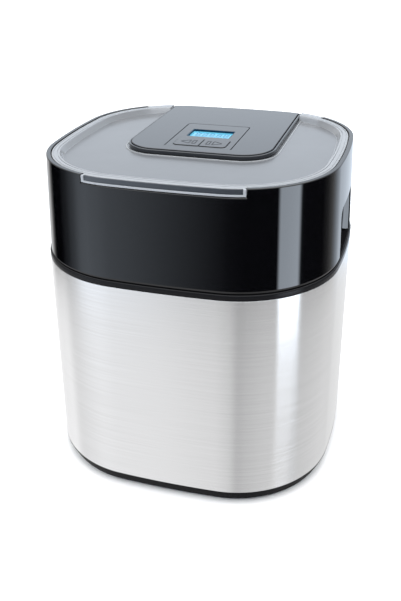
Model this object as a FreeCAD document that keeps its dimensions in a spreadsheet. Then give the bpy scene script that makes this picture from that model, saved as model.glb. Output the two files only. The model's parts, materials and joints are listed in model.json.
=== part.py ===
"""Frozen-yogurt maker: a rounded-square body, a coolant bowl, a paddle, a clear lid and a flat drive head.

Frame: millimetres, +Z up, front towards -Y, origin on the table below the middle of the body.
"""

import FreeCAD, Part
import math
import os

import Sketcher
from FreeCAD import Placement, Rotation, Vector

SPECS = {
    # plan of the body: four long shallow arcs joined by corner arcs
    "width": 225.0,
    "depth": 218.5,
    "side_arc": 463.5,
    "front_arc": 709.0,
    "corner_arc": 77.0,
    # levels of the body
    "foot_gap": 2.0,
    "steel_bottom": 10.5,
    "steel_top": 172.0,
    "collar_top": 176.4,
    "housing_bottom": 177.0,
    "lid_seat": 244.0,
    "rim_top": 250.0,
    # how far each wall stands in from the plan
    "plinth_inset": 3.8,
    "housing_inset_low": 1.0,
    "housing_inset_top": 3.2,
    "rim_width": 3.2,
    "seat_inset": 13.4,
    "wall": 3.0,
    "steel_gauge": 0.8,
    # openings in the upper housing
    "tab_half": 57.0,
    "rear_cut_half": 78.3,
    "rear_cut_front": 80.0,
    "cord_notch_half": 26.0,
    "cord_notch_floor": 225.0,
    # finger grips
    "grip_radius": 35.0,
    "grip_centre": 130.0,
    "grip_top": 214.5,
    "grip_round": 6.0,
    "grip_wall": 2.0,
    # inner tub and the fasteners that hold the body together
    "tub_radius": 89.0,
    "tub_wall": 2.0,
    "tub_floor": 46.0,
    "deck_top": 196.0,
    "deck_thick": 2.5,
    "post_place": 55.0,
    "post_top": 24.8,
    "boss_x": 83.1,
    "boss_y": 79.1,
    "foot_radius": 9.0,
    "foot_x": 72.0,
    "foot_y": 66.0,
    # coolant bowl
    "bowl_radius": 86.0,
    "bowl_bottom": 48.5,
    "bowl_wall": 2.5,
    "bowl_top": 184.0,
    "liner_radius": 75.0,
    "liner_floor": 64.0,
    "liner_top": 190.0,
    "liner_gauge": 1.2,
    "bowl_ring_top": 194.0,
    # paddle
    "paddle_half": 69.0,
    "paddle_bottom": 66.0,
    "paddle_top": 172.0,
    "paddle_thick": 6.0,
    "stem_radius": 8.0,
    "stem_top": 194.5,
    # lid
    "lid_top": 249.6,
    "lid_gap": 0.4,
    "lid_flange": 6.2,
    "lid_panel": 245.3,
    "lid_under": 243.0,
    "well_half": 53.0,
    "well_front": -28.0,
    "well_back": 93.0,
    "well_bottom": 197.5,
    "well_wall": 2.0,
    "channel_half": 25.5,
    "channel_floor": 225.5,
    # drive head
    "head_half": 56.6,
    "head_front": -32.2,
    "head_corner": 25.0,
    "head_top": 249.4,
    "frame_low": 245.6,
    "frame_top": 248.7,
    "cover_low": 246.9,
    "body_gap": 1.0,
    "body_low": 200.5,
    "body_top": 245.4,
    "body_wall": 2.0,
    # control panel, display and buttons
    "panel_half": 25.0,
    "panel_front": -20.0,
    "panel_back": 44.0,
    "window_half": 17.0,
    "window_front": 8.5,
    "window_back": 29.0,
    "window_depth": 1.5,
    "button_half": 20.0,
    "button_front": -17.0,
    "button_back": 0.9,
    "button_gap": 0.4,
    "button_proud": 0.5,
    "button_travel": 0.7,
    "board_low": 240.5,
    "board_thick": 1.6,
    # gear train: output gear, two double idlers and the motor pinion in one line
    "output_module": 1.0,
    "output_teeth": 36.0,
    "middle_module": 0.6,
    "first_module": 0.5,
    "wheel_teeth": 60.0,
    "pinion_teeth": 12.0,
    "gear_low": 205.0,
    "gear_middle": 212.0,
    "gear_high": 217.0,
    "gear_end": 220.5,
    "plate_low": 222.2,
    "plate_thick": 1.5,
    "shaft_radius": 4.0,
    "shaft_clearance": 0.05,
    "shaft_end": 181.0,
    "shaft_top": 228.0,
    "hex_flats": 8.0,
    "pin_radius": 1.5,
    "motor_radius": 20.0,
    "motor_top": 239.0,
    "motor_shaft": 1.0,
}

FAR = 400.0  # longer than anything in the object, for cutters that run right through
CLEAR = 5.0  # how far a cutter starts outside the face it cuts

doc = FreeCAD.newDocument("yogurt_maker")
sheet = doc.addObject("Spreadsheet::Sheet", "Specs")
for row, (alias, number) in enumerate(SPECS.items(), start=1):
    sheet.set(f"A{row}", alias)
    sheet.set(f"B{row}", str(number))
    sheet.setAlias(f"B{row}", alias)
doc.recompute()


class Dim:
    """A size that keeps both its number and the sheet formula it comes from."""

    def __init__(self, value, text=None):
        self.value = float(value)
        self.text = f"({self.value!r})" if text is None else text

    def __add__(self, other):
        other = dim(other)
        return Dim(self.value + other.value, f"({self.text} + {other.text})")

    def __sub__(self, other):
        other = dim(other)
        return Dim(self.value - other.value, f"({self.text} - {other.text})")

    def __mul__(self, other):
        other = dim(other)
        return Dim(self.value * other.value, f"({self.text} * {other.text})")

    def __truediv__(self, other):
        other = dim(other)
        return Dim(self.value / other.value, f"({self.text} / {other.text})")

    def __neg__(self):
        return Dim(-self.value, f"(0 - {self.text})")


def dim(size):
    return size if isinstance(size, Dim) else Dim(size)


def spec(alias):
    return Dim(SPECS[alias], f"Specs.{alias}")


def bind(item, place, size):
    """Ties one property of an object to the sheet."""
    item.setExpression(place, dim(size).text)


# ---- sketches ----------------------------------------------------------------------------------


def new_body(label):
    body = doc.addObject("PartDesign::Body", label)
    body.Label = label
    return body


def new_sketch(body, height=0.0, plane="XY_Plane"):
    """A sketch on one of the body's own origin planes, raised along the plane's normal."""
    sketch = body.newObject("Sketcher::SketchObject", body.Label + "_sketch")
    support = [item for item in body.Origin.OriginFeatures if item.Role == plane][0]
    sketch.AttachmentSupport = [(support, "")]
    sketch.MapMode = "FlatFace"
    bind(sketch, "AttachmentOffset.Base.z", height)
    return sketch


def hold(sketch, kind, *references, size):
    """Adds one dimension to a sketch and ties it to the sheet."""
    size = dim(size)
    index = sketch.addConstraint(Sketcher.Constraint(kind, *references, size.value))
    name = f"{kind}_{index}"
    sketch.renameConstraint(index, name)
    sketch.setExpression(f"Constraints.{name}", size.text)


def hold_point(sketch, geometry, position, x, y):
    """Places one point of a sketch from the origin."""
    for kind, axis, size in (("DistanceX", -2, dim(x)), ("DistanceY", -1, dim(y))):
        if abs(size.value) < 1e-9:
            sketch.addConstraint(Sketcher.Constraint("PointOnObject", geometry, position, axis))
        else:
            hold(sketch, kind, -1, 1, geometry, position, size=size)


def draw_circle(sketch, x, y, radius):
    x, y, radius = dim(x), dim(y), dim(radius)
    centre = Vector(x.value, y.value, 0)
    circle = sketch.addGeometry(Part.Circle(centre, Vector(0, 0, 1), radius.value), False)
    hold_point(sketch, circle, 3, x, y)
    hold(sketch, "Radius", circle, size=radius)


def draw_loop(sketch, corners):
    """Draws a closed outline. A corner is (x, y), or (x, y, radius) between edges along the axes."""
    points = [(dim(c[0]), dim(c[1]), dim(c[2]) if len(c) > 2 else None) for c in corners]
    spots = [Vector(x.value, y.value, 0) for x, y, _ in points]
    count = len(points)
    arrive, leave, arcs = [], [], []
    for i, (x, y, radius) in enumerate(points):
        if radius is None:
            arrive.append(spots[i])
            leave.append(spots[i])
            arcs.append(None)
            continue
        back = (spots[i - 1] - spots[i]).normalize()
        ahead = (spots[(i + 1) % count] - spots[i]).normalize()
        arrive.append(spots[i] + back * radius.value)
        leave.append(spots[i] + ahead * radius.value)
        middle_x = x + radius * round(back.x + ahead.x)
        middle_y = y + radius * round(back.y + ahead.y)
        turns_left = back.cross(ahead).z < 0
        arcs.append((middle_x, middle_y, radius, turns_left))
    lines = []
    for i in range(count):
        lines.append(sketch.addGeometry(Part.LineSegment(leave[i], arrive[(i + 1) % count]), False))
    for i, arc in enumerate(arcs):
        before, after = lines[i - 1], lines[i]
        if arc is None:
            sketch.addConstraint(Sketcher.Constraint("Coincident", before, 2, after, 1))
            hold_point(sketch, after, 1, points[i][0], points[i][1])
            continue
        middle_x, middle_y, radius, turns_left = arc
        middle = Vector(middle_x.value, middle_y.value, 0)
        first, last = (arrive[i], leave[i]) if turns_left else (leave[i], arrive[i])
        start = math.atan2(first.y - middle.y, first.x - middle.x)
        end = math.atan2(last.y - middle.y, last.x - middle.x)
        circle = Part.Circle(middle, Vector(0, 0, 1), radius.value)
        curve = sketch.addGeometry(Part.ArcOfCircle(circle, start, end), False)
        ends = (1, 2) if turns_left else (2, 1)
        sketch.addConstraint(Sketcher.Constraint("Tangent", before, 2, curve, ends[0]))
        sketch.addConstraint(Sketcher.Constraint("Tangent", curve, ends[1], after, 1))
        hold(sketch, "Radius", curve, size=radius)
        hold_point(sketch, curve, 3, middle_x, middle_y)


def corner_centre():
    """Where the first corner arc is centred, so that it touches both long arcs from inside."""
    reach_x = SPECS["side_arc"] - SPECS["width"] / 2
    reach_y = SPECS["front_arc"] - SPECS["depth"] / 2
    p = (SPECS["side_arc"] - SPECS["corner_arc"]) ** 2 - reach_x**2
    q = (SPECS["front_arc"] - SPECS["corner_arc"]) ** 2 - reach_y**2
    slope, start = reach_y / reach_x, (p - q) / (2 * reach_x)
    a, b, c = slope**2 + 1, 2 * (slope * start + reach_y), start**2 - q
    y = (-b + math.sqrt(b * b - 4 * a * c)) / (2 * a)
    return slope * y + start, y, reach_x, reach_y


def draw_plan(sketch, inset):
    """Draws the body's rounded-square plan, moved inwards by inset: the arcs keep their centres."""
    inset = dim(inset)
    centre_x, centre_y, reach_x, reach_y = corner_centre()
    low = math.atan2(centre_y, centre_x + reach_x)
    high = math.atan2(centre_y + reach_y, centre_x)
    half = math.pi
    side = SPECS["side_arc"] - inset.value
    front = SPECS["front_arc"] - inset.value
    corner = SPECS["corner_arc"] - inset.value
    pieces = (
        (-reach_x, 0, side, -low, low),
        (centre_x, centre_y, corner, low, high),
        (0, -reach_y, front, high, half - high),
        (-centre_x, centre_y, corner, half - high, half - low),
        (reach_x, 0, side, half - low, half + low),
        (-centre_x, -centre_y, corner, half + low, half + high),
        (0, reach_y, front, half + high, 2 * half - high),
        (centre_x, -centre_y, corner, 2 * half - high, 2 * half - low),
    )
    ring = []
    for x, y, radius, start, end in pieces:
        circle = Part.Circle(Vector(x, y, 0), Vector(0, 0, 1), radius)
        ring.append(sketch.addGeometry(Part.ArcOfCircle(circle, start, end), False))
    for i, arc in enumerate(ring):
        sketch.addConstraint(Sketcher.Constraint("Tangent", arc, 2, ring[(i + 1) % len(ring)], 1))
    for first, second in ((0, 4), (2, 6), (1, 3), (3, 5), (5, 7)):
        sketch.addConstraint(Sketcher.Constraint("Equal", ring[first], ring[second]))
    hold(sketch, "Radius", ring[0], size=spec("side_arc") - inset)
    hold(sketch, "Radius", ring[2], size=spec("front_arc") - inset)
    hold(sketch, "Radius", ring[1], size=spec("corner_arc") - inset)
    to_side = spec("side_arc") - spec("width") / 2
    to_front = spec("front_arc") - spec("depth") / 2
    hold_point(sketch, ring[0], 3, -to_side, 0)
    hold_point(sketch, ring[4], 3, to_side, 0)
    hold_point(sketch, ring[2], 3, 0, -to_front)
    hold_point(sketch, ring[6], 3, 0, to_front)


# ---- features ----------------------------------------------------------------------------------


def pad(body, sketch, length, taper=0.0):
    feature = body.newObject("PartDesign::Pad", body.Label + "_pad")
    feature.Profile = sketch
    bind(feature, "Length", length)
    feature.TaperAngle = taper
    sketch.Visibility = False
    return feature


def pocket(body, sketch, length, upward=True, taper=0.0, both_ways=False):
    """Cuts a sketch out of the body, upward along its normal or downward, and checks that it cut."""
    doc.recompute()
    before = body.Shape.Volume
    feature = body.newObject("PartDesign::Pocket", body.Label + "_pocket")
    feature.Profile = sketch
    bind(feature, "Length", length)
    feature.Reversed = upward
    feature.Midplane = both_ways
    feature.TaperAngle = taper
    doc.recompute()
    if body.Shape.Volume > before - 0.1:
        raise RuntimeError(f"{body.Label}: a pocket cut nothing")
    return feature


def plan_pad(body, inset, low, high, taper=0.0):
    """A slab of the body's plan between two levels."""
    sketch = new_sketch(body, low)
    draw_plan(sketch, inset)
    return pad(body, sketch, dim(high) - low, taper)


def plan_pocket(body, inset, low, high, taper=0.0):
    sketch = new_sketch(body, low)
    draw_plan(sketch, inset)
    return pocket(body, sketch, dim(high) - low, taper=taper)


def loop_pad(body, corners, low, high):
    sketch = new_sketch(body, low)
    draw_loop(sketch, corners)
    return pad(body, sketch, dim(high) - low)


def loop_pocket(body, corners, low, high):
    sketch = new_sketch(body, low)
    draw_loop(sketch, corners)
    return pocket(body, sketch, dim(high) - low)


def disc_pad(body, places, radius, low, high):
    """Round bosses of one radius between two levels."""
    sketch = new_sketch(body, low)
    for x, y in places:
        draw_circle(sketch, x, y, radius)
    return pad(body, sketch, dim(high) - low)


def disc_pocket(body, places, radius, low, high):
    sketch = new_sketch(body, low)
    for x, y in places:
        draw_circle(sketch, x, y, radius)
    return pocket(body, sketch, dim(high) - low)


def turned(label, corners):
    """A body turned round the vertical axis from a profile of (radius, height) corners."""
    body = new_body(label)
    sketch = new_sketch(body, plane="XZ_Plane")
    draw_loop(sketch, corners)
    feature = body.newObject("PartDesign::Revolution", label + "_turn")
    feature.Profile = sketch
    feature.ReferenceAxis = (sketch, ["V_Axis"])
    feature.Angle = 360
    return body


def box_corners(half, front, back, front_round=None, back_round=None):
    """Corners of a rectangle that is symmetric about x = 0, counter-clockwise from the front left."""
    half, front, back = dim(half), dim(front), dim(back)
    front_end = () if front_round is None else (front_round,)
    back_end = () if back_round is None else (back_round,)
    return [
        (-half, front) + front_end,
        (half, front) + front_end,
        (half, back) + back_end,
        (-half, back) + back_end,
    ]


def four(x, y):
    """The same place in all four quarters."""
    x, y = dim(x), dim(y)
    return [(x, y), (-x, y), (-x, -y), (x, -y)]


def move_to(item, x=0.0, y=0.0, z=0.0):
    for axis, size in (("x", x), ("y", y), ("z", z)):
        bind(item, f"Placement.Base.{axis}", size)
    return item


def round_edges(body, radius, chosen):
    """Rounds the edges of the body's last feature that the test chosen picks."""
    doc.recompute()
    base = body.Tip
    names = [f"Edge{i + 1}" for i, edge in enumerate(base.Shape.Edges) if chosen(edge)]
    feature = body.newObject("PartDesign::Fillet", body.Label + "_round")
    feature.Base = (base, names)
    feature.Radius = radius
    return feature


def at_level(height, tolerance=0.01):
    """A test for edges that lie flat at one height."""
    level = dim(height).value

    def test(edge):
        box = edge.BoundBox
        return abs(box.ZMin - level) < tolerance and abs(box.ZMax - level) < tolerance

    return test


def cylinder(label, radius, low, high, x=0.0, y=0.0):
    """A plain upright cylinder."""
    item = doc.addObject("Part::Cylinder", label)
    item.Label = label
    bind(item, "Radius", radius)
    bind(item, "Height", dim(high) - low)
    return move_to(item, x, y, low)


def block(label, x_low, x_high, y_low, y_high, low, high):
    """A plain upright box."""
    item = doc.addObject("Part::Box", label)
    item.Label = label
    bind(item, "Length", dim(x_high) - x_low)
    bind(item, "Width", dim(y_high) - y_low)
    bind(item, "Height", dim(high) - low)
    return move_to(item, x_low, y_low, low)


def joined(label, items):
    item = doc.addObject("Part::MultiFuse", label)
    item.Label = label
    item.Shapes = items
    return item


def cut(label, base, tool):
    item = doc.addObject("Part::Cut", label)
    item.Label = label
    item.Base = base
    item.Tool = tool
    return item


def shared(label, items):
    """What several solids have in common."""
    item = doc.addObject("Part::MultiCommon", label)
    item.Label = label
    item.Shapes = items
    return item


def group(label, items):
    """Identical loose pieces that share one name."""
    item = doc.addObject("Part::Compound", label)
    item.Label = label
    item.Links = items
    return item


def screws(label, places, head_low, head_radius, head_height, shank_radius, shank_end):
    """Pan-head screws: the shank runs from the head to shank_end, above or below it."""
    pieces = []
    head_low, shank_end = dim(head_low), dim(shank_end)
    head_high = head_low + head_height
    upward = shank_end.value > head_high.value
    for i, (x, y) in enumerate(places, start=1):
        head = cylinder(f"{label}_head_{i}", head_radius, head_low, head_high, x, y)
        ends = (head_low, shank_end) if upward else (shank_end, head_high)
        shank = cylinder(f"{label}_shank_{i}", shank_radius, ends[0], ends[1], x, y)
        pieces.append(joined(f"{label}_{i}", [head, shank]))
    return group(label, pieces)


PARTS = []


def keep(item):
    """Marks an object as one of the physical pieces."""
    PARTS.append(item)
    return item


# ---- the body ----------------------------------------------------------------------------------

SIDES = (("left", -1), ("right", 1))
POSTS = four(spec("post_place"), spec("post_place"))
BOSSES = four(spec("boss_x"), spec("boss_y"))
FEET = dict(zip(("back_right", "back_left", "front_left", "front_right"), four(spec("foot_x"), spec("foot_y"))))
SCREW_SHANK = 1.85
SCREW_HOLE = 1.95
FREE_HOLE = 2.1
FOOT_RECESS = 1.0
GRIP_BACK = 92.0  # nothing of the grips' shelves and cut-outs comes nearer to the middle than this
SKIRT_INSET = spec("steel_gauge") + 0.2
DRAFT = -math.degrees(
    math.atan(
        (SPECS["housing_inset_top"] - SPECS["housing_inset_low"]) / (SPECS["rim_top"] - SPECS["housing_bottom"])
    )
)


def make_base_pan():
    """The dark plinth: a tray with a lip under the steel, a skirt inside it and four screw posts."""
    body = new_body("base_pan")
    low, edge = spec("foot_gap"), spec("steel_bottom")
    lip_thick, skirt_height, thick = 0.8, 7.5, 2.5
    post_radius, head_radius, head_depth = 7.0, 4.2, 12.0
    lip, skirt, floor = edge - lip_thick, edge + skirt_height, low + thick
    plan_pad(body, spec("plinth_inset"), low, lip)
    plan_pad(body, 0.0, lip, edge)
    plan_pad(body, SKIRT_INSET, edge, skirt)
    plan_pocket(body, spec("plinth_inset") + thick, floor, skirt)
    disc_pad(body, POSTS, post_radius, floor, spec("post_top"))
    disc_pocket(body, POSTS, FREE_HOLE, low, spec("post_top"))
    disc_pocket(body, POSTS, head_radius, low, low + head_depth)
    disc_pocket(body, FEET.values(), spec("foot_radius") + 0.2, low, low + FOOT_RECESS)
    return keep(body)


def make_feet():
    """Four rubber feet, each stuck in a shallow round recess of the plinth."""
    for name, (x, y) in FEET.items():
        radius, top = spec("foot_radius"), spec("foot_gap") + FOOT_RECESS
        soft = 1.0
        profile = [(0, 0), (radius - soft, 0), (radius, soft), (radius, top), (0, top)]
        keep(move_to(turned("foot_" + name, profile), x, y))


def make_steel_shell():
    """The brushed steel band."""
    body = new_body("steel_shell")
    plan_pad(body, 0.0, spec("steel_bottom"), spec("steel_top"))
    plan_pocket(body, spec("steel_gauge"), spec("steel_bottom"), spec("steel_top"))
    return keep(body)


def make_collar_ring():
    """The dark ledge between steel and upper housing: a skirt centres the steel, and shelves close the grips."""
    body = new_body("collar_ring")
    skirt_depth, step, width = 8.0, 2.0, 5.0
    shelf_end, shelf_half = 108.5, 33.0
    skirt = spec("steel_top") - skirt_depth
    plan_pad(body, SKIRT_INSET, skirt, spec("steel_top"))
    plan_pad(body, 0.0, spec("steel_top"), spec("collar_top"))
    plan_pad(body, step, spec("collar_top"), spec("housing_bottom"))
    plan_pocket(body, width, skirt, spec("housing_bottom"))
    for _, side in SIDES:
        near, far = dim(GRIP_BACK * side), dim(shelf_end * side)
        shelf = [(near, -shelf_half), (far, -shelf_half), (far, shelf_half), (near, shelf_half)]
        loop_pad(body, shelf if side > 0 else shelf[::-1], spec("steel_top"), spec("housing_bottom"))
    return keep(body)


def grip_tool(label, side, extra, low):
    """The scoop of one finger grip: an upright cylinder outside the body, with a rounded top."""
    radius = spec("grip_radius") + extra
    core = cylinder(label + "_core", radius, low, spec("grip_top") + extra, spec("grip_centre") * side)
    doc.recompute()
    scoop = doc.addObject("Part::Fillet", label)
    scoop.Base = core
    top = at_level(spec("grip_top") + extra)
    soft = SPECS["grip_round"] + dim(extra).value
    scoop.Edges = [(i + 1, soft, soft) for i, edge in enumerate(core.Shape.Edges) if top(edge)]
    return scoop


def make_upper_housing():
    """The gloss black upper shell: leaning wall, lid seat, tab notch, rear cut, cord notch and grips."""
    body = new_body("upper_housing_shell")
    low, seat, top = spec("housing_bottom"), spec("lid_seat"), spec("rim_top")
    tab_notch_back, cord_notch_front = -90.0, 86.0
    boss_radius, boss_solid = 5.0, 3.0
    plan_pad(body, spec("housing_inset_low"), low, top, DRAFT)
    inner = spec("housing_inset_low") + spec("wall")
    plan_pocket(body, inner, low, seat - spec("wall"), DRAFT)
    plan_pocket(body, spec("seat_inset"), seat - spec("wall"), seat)
    plan_pocket(body, spec("housing_inset_top") + spec("rim_width"), seat, top)
    loop_pocket(body, box_corners(spec("tab_half"), -spec("depth"), tab_notch_back), seat, top)
    loop_pocket(body, box_corners(spec("rear_cut_half"), spec("rear_cut_front"), spec("depth")), seat, top)
    notch = box_corners(spec("cord_notch_half"), cord_notch_front, spec("depth"))
    loop_pocket(body, notch, spec("cord_notch_floor"), top)
    disc_pad(body, BOSSES, boss_radius, low, spec("deck_top") - spec("deck_thick"))
    disc_pocket(body, BOSSES, SCREW_HOLE, low + boss_solid, spec("deck_top"))
    scoops = [grip_tool(f"housing_scoop_{name}", side, 0.0, low - CLEAR) for name, side in SIDES]
    shell = cut("housing_wall", body, joined("housing_scoops", scoops))
    return keep(joined("upper_housing", [shell] + [grip_pocket(name, side) for name, side in SIDES]))


def grip_pocket(name, side):
    """The thin wall round the back of one grip, trimmed to reach into the leaning wall but not through it."""
    low = spec("housing_bottom")
    outer = grip_tool(f"pocket_outside_{name}", side, spec("grip_wall"), low)
    inner = grip_tool(f"pocket_inside_{name}", side, 0.0, low - CLEAR)
    room = new_body(f"pocket_room_{name}")
    plan_pad(room, spec("housing_inset_low") + spec("wall") / 3, low, spec("lid_seat") - spec("wall"), DRAFT)
    return shared(f"pocket_{name}", [cut(f"pocket_shell_{name}", outer, inner), room])


def make_inner_tub():
    """The round tub that the bowl stands in, with a deck that closes the body round it."""
    radius, floor, top = spec("tub_radius"), spec("tub_floor"), spec("deck_top")
    deck_inset, deck_lap, gap_half = 5.0, 0.5, 34.0
    post_radius, post_gap, post_solid = 5.5, 0.2, 4.0
    outside, under = radius + spec("tub_wall"), floor - spec("deck_thick")
    body = turned(
        "inner_tub",
        [(0, under), (outside, under), (outside, top), (radius, top), (radius, floor), (0, floor)],
    )
    deck = new_sketch(body, top - spec("deck_thick"))
    draw_plan(deck, deck_inset)
    draw_circle(deck, 0, 0, radius + deck_lap)
    pad(body, deck, spec("deck_thick"))
    for _, side in SIDES:
        near, far = dim(GRIP_BACK * side), dim(FAR * side)
        corners = [(near, -gap_half), (far, -gap_half), (far, gap_half), (near, gap_half)]
        loop_pocket(body, corners if side > 0 else corners[::-1], top - spec("deck_thick"), top)
    disc_pocket(body, BOSSES, FREE_HOLE, top - spec("deck_thick"), top)
    disc_pad(body, POSTS, post_radius, spec("post_top") + post_gap, under)
    disc_pocket(body, POSTS, SCREW_HOLE, spec("post_top"), under - post_solid)
    return keep(body)


def make_body_screws():
    """Four screws up through the plinth into the tub, and four down through the deck."""
    base_head, base_end, deck_end = spec("foot_gap") + 9.4, 37.0, spec("deck_top") - 13.0
    keep(
        screws("base_screws", POSTS, base_head, head_radius=3.8, head_height=2.6, shank_radius=SCREW_SHANK,
               shank_end=base_end)
    )
    keep(
        screws("housing_screws", BOSSES, spec("deck_top"), head_radius=3.6, head_height=2.2,
               shank_radius=SCREW_SHANK, shank_end=deck_end)
    )


# ---- bowl and paddle ---------------------------------------------------------------------------


def make_bowl():
    """The coolant bowl: plastic shell, gel, aluminium liner and the ring that closes the top."""
    radius, wall, low, top = spec("bowl_radius"), spec("bowl_wall"), spec("bowl_bottom"), spec("bowl_top")
    inside, floor = radius - wall, low + wall
    foot, foot_inside, foot_outside = spec("tub_floor") + 0.1, 55.0, 65.0
    slope = 8.0  # size of the chamfer round the bottom of the shell
    slope_inside = slope + 1.0
    floor_radius = inside - 6.5
    keep(
        turned(
            "bowl_shell",
            [(0, low), (foot_inside, low), (foot_inside, foot), (foot_outside, foot), (foot_outside, low)]
            + [(radius - slope, low), (radius, low + slope), (radius, top), (inside, top)]
            + [(inside, low + slope_inside), (floor_radius, floor), (0, floor)],
        )
    )
    face, gauge, liner_floor, liner_top = (
        spec("liner_radius"),
        spec("liner_gauge"),
        spec("liner_floor"),
        spec("liner_top"),
    )
    heel = 3.0  # height of the sloping heel between the liner's floor and its wall
    lean = 3.0  # how much narrower the liner is at its heel than at its top
    keep(
        turned(
            "bowl_liner",
            [(0, liner_floor), (face - lean - heel, liner_floor), (face - lean, liner_floor + heel)]
            + [(face, liner_top), (face + gauge, liner_top), (face - lean + gauge, liner_floor + heel - 0.6)]
            + [(face - lean - heel + 0.5, liner_floor - gauge), (0, liner_floor - gauge)],
        )
    )
    gap = 0.2
    skin = face + gauge + gap
    keep(
        turned(
            "coolant_gel",
            [(0, floor + gap), (floor_radius - gap, floor + gap), (inside - gap, low + slope_inside + gap)]
            + [(inside - gap, top), (skin - 0.15, top), (skin - lean, liner_floor + heel - 0.8)]
            + [(face - lean - heel + 0.6, liner_floor - gauge - gap), (0, liner_floor - gauge - gap)],
        )
    )
    edge, ring_top, soft, lip = radius + 1.0, spec("bowl_ring_top"), 1.5, face + 1.5
    keep(
        turned(
            "bowl_ring",
            [(lip, top + gap), (edge, top + gap), (edge, ring_top - soft), (edge - soft, ring_top)]
            + [(face, ring_top), (face, liner_top + gap), (lip, liner_top + gap)],
        )
    )


def hexagon(sketch, flats):
    """Draws a hexagon with two flats facing front and back."""
    flats = dim(flats)
    reach = flats / math.sqrt(3.0)
    draw_loop(
        sketch,
        [
            (reach, 0),
            (reach / 2, flats / 2),
            (-reach / 2, flats / 2),
            (-reach, 0),
            (-reach / 2, -flats / 2),
            (reach / 2, -flats / 2),
        ],
    )


def make_paddle():
    """An open frame on a stem, with a hexagonal socket for the drive shaft in the stem's top."""
    body = new_body("paddle")
    half, low, top, thick = spec("paddle_half"), spec("paddle_bottom"), spec("paddle_top"), spec("paddle_thick")
    toe_round, shoulder_round, window_round = 9.0, 12.0, 6.0
    play, socket_extra = 0.3, 1.0
    plate = new_sketch(body, plane="XZ_Plane")
    draw_loop(plate, box_corners(half, low, top, toe_round, shoulder_round))
    feature = pad(body, plate, thick)
    feature.Midplane = True
    disc_pad(body, [(0, 0)], spec("stem_radius"), low, spec("stem_top"))
    inner, outer, rail = 12.0, half - 9.0, 12.0
    for _, side in SIDES:
        window = new_sketch(body, plane="XZ_Plane")
        near, far = dim(inner) * side, outer * side
        spots = ((near, low + rail), (far, low + rail), (far, top - rail), (near, top - rail))
        corners = [(x, z, window_round) for x, z in spots]
        draw_loop(window, corners if side > 0 else corners[::-1])
        pocket(body, window, thick * 2, both_ways=True)
    socket = new_sketch(body, spec("stem_top"))
    hexagon(socket, spec("hex_flats") + play)
    pocket(body, socket, spec("stem_top") - spec("shaft_end") + socket_extra, upward=False)
    return keep(body)


# ---- lid ---------------------------------------------------------------------------------------


def plan_slice(label, inset, corners, low, high):
    """The part of a plan slab that lies inside a rectangle."""
    slab = new_body(label + "_slab")
    plan_pad(slab, inset, low, high)
    window = new_body(label + "_window")
    loop_pad(window, corners, dim(low) - 1.0, dim(high) + 1.0)
    return shared(label, [slab, window])


def make_lid():
    """The clear lid: flange, recessed panel, front tab, rear edge, and the well that holds the head."""
    plate = new_body("lid_plate")
    top, panel, seat = spec("lid_top"), spec("lid_panel"), spec("lid_seat") + 0.2
    edge = spec("housing_inset_top") + spec("rim_width") + spec("lid_gap")
    recess = edge + spec("lid_flange")
    spigot_gap, skin, inner_skin, hollow, slant = 0.6, 2.5, 1.6, 3.0, -30.0
    plan_pad(plate, edge, seat, top)
    plan_pad(plate, spec("seat_inset") + spigot_gap, spec("lid_under"), seat)
    channel = new_sketch(plate, seat)
    draw_plan(channel, edge + skin)
    draw_plan(channel, recess - inner_skin)
    pocket(plate, channel, hollow)
    bowl = new_sketch(plate, top)
    draw_plan(bowl, recess)
    pocket(plate, bowl, top - panel, upward=False, taper=slant)

    flush = spec("housing_inset_top") + 0.1
    tab_back = -95.0
    tab = box_corners(spec("tab_half") - spec("lid_gap"), -spec("depth"), tab_back)
    tab_low = spec("lid_seat") + 0.5
    front_tab = plan_slice("lid_tab", flush, tab, tab_low, top)
    rear = box_corners(spec("rear_cut_half") - 0.5, spec("rear_cut_front") + 5.0, spec("depth"))
    rear_edge = plan_slice("lid_rear_edge", flush, rear, seat, top)
    rear_trim = new_body("lid_rear_trim")
    plan_pad(rear_trim, recess + 0.01, seat - 1.0, top + 1.0)
    rear_band = cut("lid_rear_band", rear_edge, rear_trim)

    half, front, back, wall = spec("well_half"), spec("well_front"), spec("well_back"), spec("well_wall")
    well_low, front_round, back_round = spec("well_bottom"), 22.0, 8.0
    spout_front, spout_inner_front, hole_radius = 88.0, 86.0, 10.0
    headroom = panel + 20.0
    well = new_body("lid_well")
    loop_pad(well, box_corners(half, front, back, front_round, back_round), well_low, panel)
    spout_low = spec("channel_floor")
    spout = plan_slice(
        "lid_channel", flush, box_corners(spec("channel_half"), spout_front, spec("depth")), spout_low, top
    )
    solid = joined("lid_solid", [plate, front_tab, rear_band, well, spout])

    inside = new_body("lid_well_inside")
    rounds = (front_round - 2.0, back_round - 2.0)
    loop_pad(inside, box_corners(half - wall, front + wall, back - wall, *rounds), well_low + wall, headroom)
    spout_inside = new_body("lid_channel_inside")
    spout_room = box_corners(spec("channel_half") - wall, spout_inner_front, spec("depth"))
    loop_pad(spout_inside, spout_room, spout_low + wall, headroom)
    hole = cylinder("lid_shaft_hole", hole_radius, well_low - CLEAR, well_low + CLEAR)
    head_room = new_body("lid_head_room")
    gap = 0.5
    room = box_corners(spec("head_half") + gap, spec("head_front") - gap, spec("depth"))
    head_round = spec("head_corner") + gap
    room = [corner + (head_round,) for corner in room[:2]] + room[2:]
    loop_pad(head_room, room, panel, headroom)
    return keep(cut("lid", solid, joined("lid_hollow", [inside, spout_inside, hole, head_room])))


# ---- drive head --------------------------------------------------------------------------------

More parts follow.
